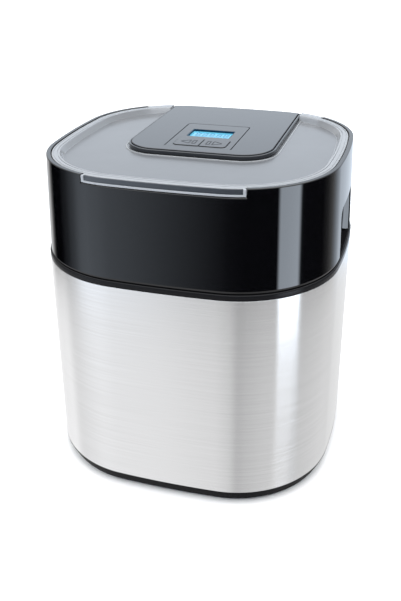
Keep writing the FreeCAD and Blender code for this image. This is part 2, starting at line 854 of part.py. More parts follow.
BODY_HALF = spec("well_half") - spec("well_wall") - spec("body_gap")
BODY_FRONT = spec("well_front") + spec("well_wall") + spec("body_gap")
BODY_BACK = spec("well_back") - spec("well_wall") - spec("body_gap")
BODY_FLOOR = spec("body_low") + 2.5
GLAND_HEIGHT = 237.0
GLAND_RADIUS = 6.0
GLAND_FACE = 105.4
BUTTON_STEM = dim(244.0)
BUTTON_MIDDLE = (10.0, -8.0)
BUTTON_ROUND = 3.0
PANEL_ROUND = 2.5
BUSH_RADIUS = (6.5, 6.0)
HEAD_SCREWS = [(-43, -10), (43, -10), (43, 83), (-43, 83)]
HEAD_SCREW_HOLE = 1.6
BOARD_SCREWS = [(-28, -16), (28, -16), (28, 42), (-28, 42)]
PLATE_POSTS = [(-23, -10), (23, -10), (23, 80), (-23, 80)]
POWER_POSTS = [(-38, 36), (-38, 73)]

OUTPUT_RADIUS = spec("output_module") * spec("output_teeth") / 2
IDLER_B = OUTPUT_RADIUS + spec("output_module") * spec("pinion_teeth") / 2
IDLER_A = IDLER_B + spec("middle_module") * (spec("wheel_teeth") + spec("pinion_teeth")) / 2
MOTOR = IDLER_A + spec("first_module") * (spec("wheel_teeth") + spec("pinion_teeth")) / 2
PIN_HOLE = spec("pin_radius") + spec("shaft_clearance")
MOTOR_SCREWS = [(-14, MOTOR), (14, MOTOR)]
MOTOR_COLLAR = 6.8


def make_head_body():
    """The tray under the head: it hangs in the lid's well and carries the motor and gears."""
    body = new_body("head_body")
    low, top, wall = spec("body_low"), spec("body_top"), spec("body_wall")
    outer_rounds, inner_rounds = (19.0, 5.0), (17.0, 3.0)
    loop_pad(body, box_corners(BODY_HALF, BODY_FRONT, BODY_BACK, *outer_rounds), low, top)
    nose_half = spec("channel_half") - spec("well_wall") - spec("body_gap")
    nose_low, nose_front = spec("channel_floor") + 3.0, 86.0
    loop_pad(body, box_corners(nose_half, nose_front, GLAND_FACE), nose_low, top)
    inside = box_corners(BODY_HALF - wall, BODY_FRONT + wall, BODY_BACK - wall, *inner_rounds)
    loop_pocket(body, inside, BODY_FLOOR, top)
    nose_room = box_corners(nose_half - wall, dim(nose_front) - wall, dim(GLAND_FACE) - wall)
    loop_pocket(body, nose_room, nose_low + wall, top)
    screw_boss, screw_head_room, screw_seat = 4.2, 3.2, 232.0
    plate_post, board_post, board_post_top = 3.0, 2.5, 205.9
    disc_pad(body, HEAD_SCREWS, screw_boss, BODY_FLOOR, top - 1.0)
    disc_pocket(body, HEAD_SCREWS, HEAD_SCREW_HOLE, low, top)
    disc_pocket(body, HEAD_SCREWS, screw_head_room, low, screw_seat)
    disc_pad(body, PLATE_POSTS, plate_post, BODY_FLOOR, spec("plate_low"))
    disc_pad(body, POWER_POSTS, board_post, BODY_FLOOR, board_post_top)
    disc_pocket(body, [(0, 0)], BUSH_RADIUS[0] + spec("shaft_clearance").value, low, BODY_FLOOR)
    pins = [(0, IDLER_B), (0, IDLER_A)]
    disc_pocket(body, pins, PIN_HOLE, low + 1.0, BODY_FLOOR)
    gland = new_sketch(body, -GLAND_FACE - CLEAR, plane="XZ_Plane")
    draw_circle(gland, 0, GLAND_HEIGHT, GLAND_RADIUS + 0.05)
    pocket(body, gland, wall + 2 * CLEAR)
    return keep(body)


def head_slab(label, inset, low, high):
    """A slab of the head's outline: round front corners, square rear corners on the body's rear arc."""
    inset = dim(inset)
    corners = box_corners(spec("head_half") - inset, spec("head_front") + inset, spec("depth"), None, None)
    front_round = spec("head_corner") - inset
    corners = [corner + (front_round,) for corner in corners[:2]] + corners[2:]
    return plan_slice(label, spec("housing_inset_top") + inset, corners, low, high)


def make_head_frame():
    """The bezel round the head, with a ledge that carries the cover."""
    low, top, lip, pad_radius = spec("frame_low"), spec("frame_top"), 1.4, 6.0
    ledge = spec("cover_low") - 0.1
    outer = head_slab("frame_outer", 0.0, low, top)
    step = head_slab("frame_step", lip, ledge, top + 1.0)
    opening = new_body("frame_opening")
    half, front, back, front_round, back_round = 48.0, -23.0, 87.5, 15.0, 4.0
    loop_pad(opening, box_corners(half, front, back, front_round, back_round), low - 1.0, top + 1.0)
    screw_holes, bridge_pads = [], []
    for i, (x, y) in enumerate(HEAD_SCREWS):
        screw_holes.append(cylinder(f"frame_hole_{i}", HEAD_SCREW_HOLE, low, top, x, y))
        bridge_pads.append(cylinder(f"frame_pad_{i}", pad_radius, low, ledge, x, y))
    ring = cut("frame_ring", outer, joined("frame_hollow", [step, opening]))
    solid = joined("frame_solid", [ring] + bridge_pads)
    return keep(cut("head_frame", solid, joined("frame_holes", screw_holes)))


def make_head_cover():
    """The flat top plate, with a cut-out for the control panel and four posts for the board."""
    low, top = spec("cover_low"), spec("head_top")
    edge_inset, post_radius, hole_radius, gap = 1.9, 2.6, 1.25, 0.3
    post_low, hole_top = spec("board_low") + spec("board_thick") + 0.1, low - 0.4
    plate = head_slab("cover_plate", edge_inset, low, top)
    posts, holes = [], []
    for i, (x, y) in enumerate(BOARD_SCREWS):
        posts.append(cylinder(f"cover_post_{i}", post_radius, post_low, low + 0.5, x, y))
        holes.append(cylinder(f"cover_hole_{i}", hole_radius, spec("board_low"), hole_top, x, y))
    window = new_body("cover_window")
    front, back = spec("panel_front") - gap, spec("panel_back") + gap
    corners = box_corners(spec("panel_half") + gap, front, back, None, PANEL_ROUND + gap)
    loop_pad(window, corners, low - 1.0, top + 1.0)
    solid = joined("cover_solid", [plate] + posts)
    return keep(cut("head_cover", solid, joined("cover_hollow", [window] + holes)))


def make_control_panel():
    """The insert that carries the display window and the two buttons."""
    body = new_body("control_panel")
    low, top = spec("cover_low"), spec("head_top")
    outline = box_corners(spec("panel_half"), spec("panel_front"), spec("panel_back"), None, PANEL_ROUND)
    loop_pad(body, outline, low, top)
    window_round = 0.8
    window = box_corners(spec("window_half"), spec("window_front"), spec("window_back"), window_round, window_round)
    loop_pocket(body, window, low, top)
    gap = spec("button_gap")
    front_round, back_round = gap + BUTTON_ROUND, 1.0
    front, back = spec("button_front") - gap, spec("button_back") + gap
    keys = box_corners(spec("button_half") + gap, front, back, front_round, back_round)
    loop_pocket(body, keys, low, top)
    return keep(body)


def make_display():
    """The display's clear window, the display itself, the board under both, and the two switches on it."""
    lens = new_body("display_lens")
    face = spec("head_top") - spec("window_depth")
    half, front, back = spec("window_half"), spec("window_front"), spec("window_back")
    ledge = spec("cover_low") - 0.1
    lap, flange, play, soft, border = 1.5, 1.1, 0.2, 0.6, 3.0
    loop_pad(lens, box_corners(half + lap, front - lap, back + lap), ledge - flange, ledge)
    loop_pad(lens, box_corners(half - play, front + play, back - play, soft, soft), ledge, face)
    keep(lens)
    board_top = spec("board_low") + spec("board_thick")
    module = new_body("lcd_module")
    loop_pad(module, box_corners(half + border, front - border, back + border), board_top + 0.1, ledge - 1.2)
    keep(module)
    board = new_body("control_board")
    board_half, board_front, board_back, board_round, hole_radius = 31.0, -20.0, 46.0, 2.0, 1.3
    outline = box_corners(board_half, board_front, board_back, board_round, board_round)
    loop_pad(board, outline, spec("board_low"), board_top)
    disc_pocket(board, BOARD_SCREWS, hole_radius, spec("board_low"), board_top)
    keep(board)
    switches = []
    case_half, case_height, key_radius = 3.0, 0.7, 1.75
    key_top = BUTTON_STEM - spec("button_travel") - 0.05
    low, y = board_top + 0.05, BUTTON_MIDDLE[1]
    for name, side in SIDES:
        x = BUTTON_MIDDLE[0] * side
        sides = (x - case_half, x + case_half, y - case_half, y + case_half)
        case = block(f"switch_case_{name}", *sides, low, low + case_height)
        key = cylinder(f"switch_key_{name}", key_radius, low, key_top, x, y)
        switches.append(joined(f"switch_{name}", [case, key]))
    keep(group("key_switches", switches))
    head_low, end = spec("board_low") - 2.1, 245.5
    keep(
        screws("board_screws", BOARD_SCREWS, head_low, head_radius=2.2, head_height=2.0, shank_radius=1.2,
               shank_end=end)
    )


def make_buttons():
    """Two buttons side by side, each with a hidden flange and a stem over its switch."""
    half_gap, lap, stem_height, stem_radius, back_round, edge_round = 0.25, 1.2, 1.4, 2.0, 0.8, 0.3
    for name, side in SIDES:
        body = new_body("button_" + name)
        near, far = dim(half_gap) * side, spec("button_half") * side
        front, back = spec("button_front"), spec("button_back")
        flange_low, flange_top = BUTTON_STEM + stem_height, spec("cover_low") - 0.2
        reach = far + lap * side
        flange = [(near, front - lap), (reach, front - lap), (reach, back + lap), (near, back + lap)]
        cap = [(near, front), (far, front, BUTTON_ROUND), (far, back, back_round), (near, back)]
        if side < 0:
            flange, cap = flange[::-1], cap[::-1]
        loop_pad(body, flange, flange_low, flange_top)
        top = spec("head_top") + spec("button_proud")
        loop_pad(body, cap, flange_top, top)
        disc_pad(body, [(BUTTON_MIDDLE[0] * side, BUTTON_MIDDLE[1])], stem_radius, BUTTON_STEM, flange_low)
        round_edges(body, edge_round, at_level(top))
        keep(body)


def make_gear_plate():
    """The steel plate over the gears: it holds the pins, the upper bush and the motor."""
    body = new_body("gear_plate")
    low = spec("plate_low")
    top = low + spec("plate_thick")
    half, front, back, soft = 27.0, -15.0, 86.0, 4.0
    loop_pad(body, box_corners(half, front, back, soft, soft), low, top)
    disc_pocket(body, [(0, 0)], BUSH_RADIUS[1] + spec("shaft_clearance").value, low, top)
    disc_pocket(body, [(0, IDLER_B), (0, IDLER_A)], PIN_HOLE, low, top)
    disc_pocket(body, [(0, MOTOR)], MOTOR_COLLAR + 0.2, low, top)
    disc_pocket(body, MOTOR_SCREWS, 1.35, low, top)
    return keep(body)


def make_motor():
    """The flat motor on the plate, its shaft and pinion."""
    low = spec("plate_low") + spec("plate_thick") + 0.05
    can = new_body("motor_can")
    disc_pad(can, [(0, MOTOR)], spec("motor_radius"), low, spec("motor_top"))
    shaft_end, bore_end, edge_round = 229.0, 230.0, 1.5
    screw_hole, screw_depth, screw_length = 1.3, 4.0, 3.5
    disc_pad(can, [(0, MOTOR)], MOTOR_COLLAR, spec("plate_low"), low)
    disc_pocket(can, [(0, MOTOR)], spec("motor_shaft") + spec("shaft_clearance"), spec("plate_low"), bore_end)
    disc_pocket(can, MOTOR_SCREWS, screw_hole, low, low + screw_depth)
    round_edges(can, edge_round, at_level(spec("motor_top")))
    keep(can)
    keep(cylinder("motor_shaft", spec("motor_shaft"), spec("gear_high") - 0.1, shaft_end, 0, MOTOR))
    keep(
        screws("motor_screws", MOTOR_SCREWS, spec("plate_low") - 1.8, head_radius=2.4, head_height=1.7,
               shank_radius=1.2, shank_end=low + screw_length)
    )


def gear_shape(module, teeth, low, high):
    """A spur gear blank with trapezoidal teeth on its pitch circle, a little thin so that a pair runs free."""
    pitch = module * teeth / 2
    step = 2 * math.pi / teeth
    levels = (
        (pitch - 1.15 * module, 0.33),
        (pitch, 0.235),
        (pitch + 0.9 * module, 0.12),
    )
    points = []
    for tooth in range(int(teeth)):
        middle = tooth * step
        for radius, share in levels:
            angle = middle - share * step
            points.append(Vector(radius * math.cos(angle), radius * math.sin(angle), low))
        for radius, share in reversed(levels):
            angle = middle + share * step
            points.append(Vector(radius * math.cos(angle), radius * math.sin(angle), low))
    return Part.Face(Part.makePolygon(points + points[:1])).extrude(Vector(0, 0, high - low))


def make_gear(label, y, steps, bore, turn=0.0):
    """A gear of one or two steps on an upright bore. A step is (module, teeth, low, high, turn in teeth)."""
    solid = None
    for module, teeth, low, high, phase in steps:
        step = gear_shape(module.value, teeth.value, low.value, high.value)
        step.rotate(Vector(0, 0, 0), Vector(0, 0, 1), phase * 360.0 / teeth.value)
        solid = step if solid is None else solid.fuse(step)
    hole = Part.makeCylinder(bore.value, FAR, Vector(0, 0, 0))
    item = doc.addObject("Part::Feature", label)
    item.Label = label
    item.Shape = solid.cut(hole)
    item.Placement = Placement(Vector(0, y.value, 0), Rotation(Vector(0, 0, 1), turn))
    return keep(item)


def make_gears():
    """The train, drawn in mesh: wherever two gears meet, a tooth of one faces a gap of the other.

    All axes lie on x = 0, so each gear meets its neighbours straight ahead (90 degrees) and straight
    behind (270 degrees). A gear whose tooth count is a multiple of 4 has a tooth at both places when
    its turn is 0, and a gap at both when it is turned by half a tooth.
    """
    low, middle, high, end = spec("gear_low"), spec("gear_middle"), spec("gear_high"), spec("gear_end")
    wheel, pinion = spec("wheel_teeth"), spec("pinion_teeth")
    fine, medium, coarse = spec("first_module"), spec("middle_module"), spec("output_module")
    shaft_bore = spec("shaft_radius") + 0.02
    make_gear("output_gear", dim(0), [(coarse, spec("output_teeth"), low, middle - 1.0, 0.0)], shaft_bore)
    make_gear(
        "idler_b_gear",
        IDLER_B,
        [(coarse, pinion, low, middle, 0.5), (medium, wheel, middle, high - 1.0, 0.0)],
        PIN_HOLE,
    )
    make_gear(
        "idler_a_gear",
        IDLER_A,
        [(medium, pinion, middle, high, 0.5), (fine, wheel, high, end, 0.0)],
        PIN_HOLE,
    )
    make_gear("motor_pinion", MOTOR, [(fine, pinion, high, end, 0.5)], spec("motor_shaft") + 0.02)


def make_shafts():
    """The drive shaft with its hexagonal end, its bushes and clip, and the two idler pins."""
    shaft = new_body("drive_shaft")
    hex_top = spec("well_bottom")
    disc_pad(shaft, [(0, 0)], spec("shaft_radius"), hex_top, spec("shaft_top"))
    end = new_sketch(shaft, spec("shaft_end"))
    hexagon(end, spec("hex_flats"))
    pad(shaft, end, hex_top - spec("shaft_end"))
    keep(shaft)
    bore = spec("shaft_radius") + spec("shaft_clearance")
    low, floor = spec("body_low"), BODY_FLOOR
    (outer, upper_outer), flange, flange_thick = BUSH_RADIUS, 2.0, 1.2
    lip, flange_top = outer + flange, floor + flange_thick
    lower = [(bore, low), (outer, low), (outer, floor), (lip, floor), (lip, flange_top), (bore, flange_top)]
    keep(turned("shaft_bush_lower", lower))
    plate = spec("plate_low")
    top = plate + spec("plate_thick")
    lip, under, end = upper_outer + flange, plate - flange_thick, top + 0.5
    upper = [(bore, under), (lip, under), (lip, plate), (upper_outer, plate), (upper_outer, end), (bore, end)]
    keep(turned("shaft_bush_upper", upper))
    groove, clip_radius, clip_low, clip_high = spec("shaft_radius") + 0.02, 6.4, top + 0.7, top + 1.7
    clip = [(groove, clip_low), (clip_radius, clip_low), (clip_radius, clip_high), (groove, clip_high)]
    keep(turned("shaft_clip", clip))
    for name, y in (("idler_b_pin", IDLER_B), ("idler_a_pin", IDLER_A)):
        keep(cylinder(name, spec("pin_radius"), low + 1.1, top, 0, y))


def make_power_supply():
    """A small supply board beside the motor, with its transformer."""
    left, right, front, back = -47.0, -29.5, 31.0, 78.0
    low, top = 206.0, 207.6
    board = new_body("power_board")
    loop_pad(board, [(left, front), (right, front), (right, back), (left, back)], low, top)
    keep(board)
    margin, case_front, case_back, case_top, edge_round = 1.0, 50.0, 74.0, 228.0, 1.5
    left, right = left + margin, right - margin
    case = new_body("transformer")
    corners = [(left, case_front), (right, case_front), (right, case_back), (left, case_back)]
    loop_pad(case, corners, top + 0.1, case_top)
    round_edges(case, edge_round, at_level(case_top))
    keep(case)


def make_cord_gland():
    """The bushed hole in the rear of the head where the mains cord would enter."""
    bore, start, end, flange, soft = 3.2, 103.0, 107.6, 7.5, 0.8
    profile = [(bore, start), (GLAND_RADIUS, start), (GLAND_RADIUS, GLAND_FACE), (flange, GLAND_FACE)]
    profile += [(flange, end - soft), (flange - soft, end), (bore, end)]
    gland = turned("cord_gland", profile)
    gland.Placement = Placement(Vector(0, 0, GLAND_HEIGHT), Rotation(Vector(1, 0, 0), -90))
    return keep(gland)


def make_head_screws():
    """Four screws up through the tray and the bezel, into the pads under the cover."""
    head_low, end = 229.5, 246.6
    return keep(
        screws("head_screws", HEAD_SCREWS, head_low, head_radius=2.9, head_height=2.4, shank_radius=1.5,
               shank_end=end)
    )


def make_everything():
    make_base_pan()
    make_feet()
    make_steel_shell()
    make_collar_ring()
    make_upper_housing()
    make_inner_tub()
    make_body_screws()
    make_bowl()
    make_paddle()
    make_lid()
    make_head_body()
    make_head_frame()
    make_head_cover()
    make_control_panel()
    make_display()
    make_buttons()
    make_gear_plate()
    make_motor()
    make_gears()
    make_shafts()
    make_power_supply()
    make_cord_gland()
    make_head_screws()


def check_and_write():
    """Stops on any failed object, then writes one file per piece."""
    doc.recompute()
    for item in doc.Objects:
        if "Invalid" in item.State or "Error" in item.State:
            raise RuntimeError(f"{item.Label} failed: {item.State}")
    os.makedirs("parts", exist_ok=True)
    for item in PARTS:
        shape = item.Shape
        if shape.isNull() or not shape.isValid() or not shape.Solids:
            raise RuntimeError(f"{item.Label} has no sound shape")
        shape.exportStep(f"parts/{item.Label}.step")
        box = shape.BoundBox
        print(
            f"{item.Label:18s} solids {len(shape.Solids)}  volume {shape.Volume / 1000:8.2f} cm3  "
            f"x {box.XMin:7.1f} {box.XMax:7.1f}  y {box.YMin:7.1f} {box.YMax:7.1f}  z {box.ZMin:6.1f} {box.ZMax:6.1f}"
        )


make_everything()
check_and_write()
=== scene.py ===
"""Looks of the frozen-yogurt maker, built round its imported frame.

Sizes are in millimetres until a mesh is made. The plan of the body is four long arcs joined by corner
arcs, and an "inset" is a distance inwards from it.
"""

import json
import math
from functools import partial

import bmesh
import bpy
from mathutils import Matrix, Vector

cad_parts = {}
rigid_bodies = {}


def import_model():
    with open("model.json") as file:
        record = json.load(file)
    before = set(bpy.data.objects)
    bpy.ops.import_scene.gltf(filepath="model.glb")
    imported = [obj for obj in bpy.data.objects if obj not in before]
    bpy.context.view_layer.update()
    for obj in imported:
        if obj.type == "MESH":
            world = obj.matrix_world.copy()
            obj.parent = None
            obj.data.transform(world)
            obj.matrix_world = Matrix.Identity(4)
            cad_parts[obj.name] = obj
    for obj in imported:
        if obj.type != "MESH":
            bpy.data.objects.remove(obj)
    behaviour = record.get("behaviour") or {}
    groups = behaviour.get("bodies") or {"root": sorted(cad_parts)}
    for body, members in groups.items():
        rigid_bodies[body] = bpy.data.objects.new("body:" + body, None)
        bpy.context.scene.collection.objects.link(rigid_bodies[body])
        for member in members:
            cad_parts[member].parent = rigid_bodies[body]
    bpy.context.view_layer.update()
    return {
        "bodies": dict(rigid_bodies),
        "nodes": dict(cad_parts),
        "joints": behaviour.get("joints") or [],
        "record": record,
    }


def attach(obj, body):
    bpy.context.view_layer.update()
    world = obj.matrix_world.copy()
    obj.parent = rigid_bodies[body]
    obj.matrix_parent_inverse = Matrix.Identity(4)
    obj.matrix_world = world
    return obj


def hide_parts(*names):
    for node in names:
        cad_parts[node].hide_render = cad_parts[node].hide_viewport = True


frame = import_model()
NODES = frame["nodes"]
MM = 0.001

# ---- sizes that the pieces share -----------------------------------------------------------------

HALF_WIDTH, HALF_DEPTH = 112.5, 109.25
SIDE_ARC, FRONT_ARC, CORNER_ARC = 463.5, 709.0, 77.0
STEEL_LOW, STEEL_TOP = 10.5, 172.0
COLLAR_TOP, HOUSING_LOW, LID_SEAT, RIM_TOP = 176.4, 177.0, 244.0, 250.0
WALL_INSET_LOW, WALL_INSET_TOP, RIM_WIDTH, WALL, GRIP_WALL = 1.0, 3.2, 3.2, 3.0, 2.0
SEAT_INSET = 13.4
TAB_HALF, REAR_CUT_HALF, CORD_NOTCH_HALF, CORD_NOTCH_FLOOR = 57.0, 78.3, 26.0, 225.0
GRIP_RADIUS, GRIP_CENTRE, GRIP_TOP, GRIP_ROUND = 35.0, 130.0, 214.5, 6.0
LID_TOP, LID_PANEL, LID_EDGE, LID_LOW = 249.6, 245.3, 7.1, 244.2
HEAD_HALF, HEAD_FRONT, HEAD_CORNER, HEAD_TOP = 56.6, -32.2, 25.0, 249.4
FRONT_STEPS, CORNER_STEPS, SIDE_STEPS = 12, 54, 44
EDGE_STEP = 0.02  # degrees from a notch's edge to the line on each side of it


# ---- the plan of the body ------------------------------------------------------------------------


def corner_centre():
    """Centre of the rear right corner arc, which touches a front-type arc and a side arc."""
    long_x, long_y = FRONT_ARC - HALF_DEPTH, SIDE_ARC - HALF_WIDTH
    near, far = FRONT_ARC - CORNER_ARC, SIDE_ARC - CORNER_ARC
    first, second = Vector((0.0, -long_x)), Vector((-long_y, 0.0))
    between = second - first
    span = between.length
    along = (span * span + near * near - far * far) / (2 * span)
    aside = math.sqrt(near * near - along * along)
    unit = between / span
    return first + unit * along + Vector((unit.y, -unit.x)) * aside


CORNER = corner_centre()
FRONT_SHARE = CORNER.x / (FRONT_ARC - CORNER_ARC)
SIDE_SHARE = CORNER.y / (SIDE_ARC - CORNER_ARC)


def plan_arc(angle):
    """Centre, radius and outward direction where the plan faces this angle (0 front, 90 right)."""
    out = Vector((math.sin(math.radians(angle)), -math.cos(math.radians(angle))))
    if abs(out.x) <= FRONT_SHARE:
        return Vector((0.0, math.copysign(FRONT_ARC - HALF_DEPTH, -out.y))), FRONT_ARC, out
    if abs(out.y) <= SIDE_SHARE:
        return Vector((math.copysign(SIDE_ARC - HALF_WIDTH, -out.x), 0.0)), SIDE_ARC, out
    return Vector((math.copysign(CORNER.x, out.x), math.copysign(CORNER.y, out.y))), CORNER_ARC, out


def plan_point(angle, inset):
    """The place this far inside the plan, where its normal points at this angle."""
    centre, radius, out = plan_arc(angle)
    return centre + out * (radius - inset)


def angle_at(x, inset=WALL_INSET_TOP):
    """Normal angle on the front half of the plan at this distance right of the middle."""
    if abs(x) <= FRONT_SHARE * (FRONT_ARC - inset):
        return math.degrees(math.asin(x / (FRONT_ARC - inset)))
    return math.copysign(math.degrees(math.asin((abs(x) - CORNER.x) / (CORNER_ARC - inset))), x)


def plan_angles():
    """Close steps on the long arcs, wider ones on the corners, and two at each edge of every notch."""
    front, side = math.degrees(math.asin(FRONT_SHARE)), math.degrees(math.asin(SIDE_SHARE))
    quarter = [front * i / FRONT_STEPS for i in range(FRONT_STEPS)]
    turn = 90.0 - front - side
    quarter += [front + turn * i / CORNER_STEPS for i in range(CORNER_STEPS)]
    quarter += [90.0 - side + side * i / SIDE_STEPS for i in range(SIDE_STEPS + 1)]
    edges = [angle_at(TAB_HALF)]
    edges += [180.0 - angle_at(x) for x in (REAR_CUT_HALF, HEAD_HALF + 0.5, CORD_NOTCH_HALF)]
    right = set(quarter) | {180.0 - a for a in quarter}
    for edge in edges:
        right = {a for a in right if abs(a - edge) > 3 * EDGE_STEP} | {edge - EDGE_STEP, edge + EDGE_STEP}
    whole = {round(a, 5) for a in right} | {round(-a, 5) for a in right if 0.0 < a < 180.0}
    return sorted(whole)


ANGLES = plan_angles()


def rear_edge(x, inset):
    """Depth of the plan's rear line at this distance from the middle."""
    point = plan_point(180.0 - angle_at(x, inset), inset)
    return point.y


# ---- outlines ------------------------------------------------------------------------------------


def rounded(corners, steps=6):
    """A closed outline with arcs. A corner is (u, v) or (u, v, radius)."""
    outline = []
    for i, corner in enumerate(corners):
        here = Vector(corner[:2])
        if len(corner) < 3:
            outline.append(here)
            continue
        before = (Vector(corners[i - 1][:2]) - here).normalized()
        after = (Vector(corners[(i + 1) % len(corners)][:2]) - here).normalized()
        half = before.angle(after) / 2
        centre = here + (before + after).normalized() * (corner[2] / math.sin(half))
        start = here + before * (corner[2] / math.tan(half)) - centre
        sweep = math.copysign(math.pi - 2 * half, -before.cross(after))
        for k in range(steps + 1):
            outline.append(centre + Matrix.Rotation(sweep * k / steps, 2) @ start)
    return outline


def shrunk(outline, amount):
    """The outline moved inwards, for one that runs anticlockwise."""
    moved = []
    for i, here in enumerate(outline):
        first = (here - outline[i - 1]).normalized()
        second = (outline[(i + 1) % len(outline)] - here).normalized()
        normal_a, normal_b = Vector((-first.y, first.x)), Vector((-second.y, second.x))
        moved.append(here + (normal_a + normal_b) * (amount / (1.0 + normal_a.dot(normal_b))))
    return moved


def box_outline(left, right, front, back, front_round=None, back_round=None, steps=8):
    """A rectangle that runs anticlockwise from its front left corner."""
    corners = [(left, front), (right, front), (right, back), (left, back)]
    radii = [front_round, front_round, back_round, back_round]
    return rounded([c + (r,) if r else c for c, r in zip(corners, radii)], steps)


def head_outline(inset=0.0):
    """The drive head seen from above: round front corners, and a rear edge on the body's own arc."""
    half, front, soft = HEAD_HALF - inset, HEAD_FRONT + inset, HEAD_CORNER - inset
    steps = 24
    across = [half - 2 * half * i / steps for i in range(steps + 1)]
    rear = [(x, rear_edge(x, WALL_INSET_TOP + inset)) for x in across]
    return rounded([(-half, front, soft), (half, front, soft)] + rear, 16)


def circle(radius, steps=48):
    """A circle round the middle of the body."""
    turns = [2 * math.pi * i / steps for i in range(steps)]
    return [Vector((radius * math.cos(t), radius * math.sin(t))) for t in turns]


# ---- mesh building -------------------------------------------------------------------------------


class Solid:
    """Builds one closed mesh out of loops, the bands between them, and flat caps."""

    def __init__(self):
        self.mesh = bmesh.new()

    def loop(self, points):
        """New vertices at these points."""
        return [self.mesh.verts.new(p) for p in points]

    def band(self, first, second):
        """Faces from one closed loop to the next."""
        count = len(first)
        for i in range(count):
            j = (i + 1) % count
            self.mesh.faces.new((first[i], first[j], second[j], second[i]))

    def stack(self, rings):
        """Loops joined one to the next. Returns the first and the last."""
        loops = [self.loop(ring) for ring in rings]
        for first, second in zip(loops, loops[1:]):
            self.band(first, second)
        return loops[0], loops[-1]

    def cap(self, *loops):
        """Fills the flat space inside the first loop and outside the others."""
        edges = []
        for loop in loops:
            for i, vertex in enumerate(loop):
                pair = (vertex, loop[(i + 1) % len(loop)])
                edges.append(self.mesh.edges.get(pair) or self.mesh.edges.new(pair))
        bmesh.ops.triangle_fill(self.mesh, use_beauty=True, use_dissolve=False, edges=edges)

    def place(self, name, body, look, replaces=(), sharp=38.0):
        """Closes the mesh off as an object that rides on a body of the frame."""
        bmesh.ops.remove_doubles(self.mesh, verts=self.mesh.verts, dist=0.002)
        bmesh.ops.dissolve_degenerate(self.mesh, edges=self.mesh.edges, dist=0.001)
        bmesh.ops.recalc_face_normals(self.mesh, faces=self.mesh.faces)
        bmesh.ops.scale(self.mesh, vec=(MM, MM, MM), verts=self.mesh.verts)
        data = bpy.data.meshes.new(name)
        self.mesh.to_mesh(data)
        self.mesh.free()
        data.polygons.foreach_set("use_smooth", [True] * len(data.polygons))
        data.set_sharp_from_angle(angle=math.radians(sharp))
        data.materials.append(look)
        item = bpy.data.objects.new(name, data)
        bpy.context.scene.collection.objects.link(item)
        even = item.modifiers.new("even_normals", "WEIGHTED_NORMAL")
        even.keep_sharp = True
        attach(item, body)
        if replaces:
            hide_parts(*replaces)
        return item


def level(outline, height):
    """The outline laid flat at this height."""
    return [Vector((p.x, p.y, height)) for p in outline]


def soft_edges(outline, low, high, soft, under=None, steps=4):
    """Rings up the side of a plate. Its edges are rounded by soft above and by under below."""
    under = min(soft, 0.3) if under is None else under
    turns = [math.pi / 2 * k / steps for k in range(steps + 1)]
    rings = []
    for turn in turns:
        rings.append(level(shrunk(outline, under * (1 - math.sin(turn))), low + under * (1 - math.cos(turn))))
    for turn in turns:
        rings.append(level(shrunk(outline, soft * (1 - math.cos(turn))), high - soft * (1 - math.sin(turn))))
    return rings


def plate(name, body, look, outer, low, high, soft, holes=(), hole_soft=0.2, **extra):
    """A flat plate with rounded edges and holes. Holes run anticlockwise, as the outer line does."""
    solid = Solid()
    bottoms, tops = [], []
    for outline, edge in [(outer, soft)] + [(hole[::-1], hole_soft) for hole in holes]:
        bottom, top = solid.stack(soft_edges(outline, low, high, edge))
        bottoms.append(bottom)
        tops.append(top)
    solid.cap(*bottoms)
    solid.cap(*tops)
    return solid.place(name, body, look, **extra)


def plan_ring(name, body, look, section, **extra):
    """A closed ring round the body. section(angle) is its cross-section there, as (inset, height) points."""
    solid = Solid()
    loops = []
    for angle in ANGLES:
        points = []
        for inset, height in section(angle):
            place = plan_point(angle, inset)
            points.append((place.x, place.y, height))
        loops.append(solid.loop(points))
    for i, loop in enumerate(loops):
        solid.band(loop, loops[(i + 1) % len(loops)])
    return solid.place(name, body, look, **extra)


def strip(name, body, look, stations, **extra):
    """A closed strip along the body. A station is a function from inset to place, and a cross-section."""
    solid = Solid()
    loops = []
    for place, section in stations:
        spots = [(place(inset), height) for inset, height in section]
        loops.append(solid.loop([(spot.x, spot.y, height) for spot, height in spots]))
    for first, second in zip(loops, loops[1:]):
        solid.band(first, second)
    solid.mesh.faces.new(loops[0])
    solid.mesh.faces.new(loops[-1][::-1])
    return solid.place(name, body, look, **extra)


def plan_strip(name, body, look, angles, section, **extra):
    """A closed strip between two directions, with the same kind of section as plan_ring."""
    stations = [(partial(plan_point, angle), section(angle)) for angle in angles]
    return strip(name, body, look, stations, **extra)


# ---- surfaces ------------------------------------------------------------------------------------


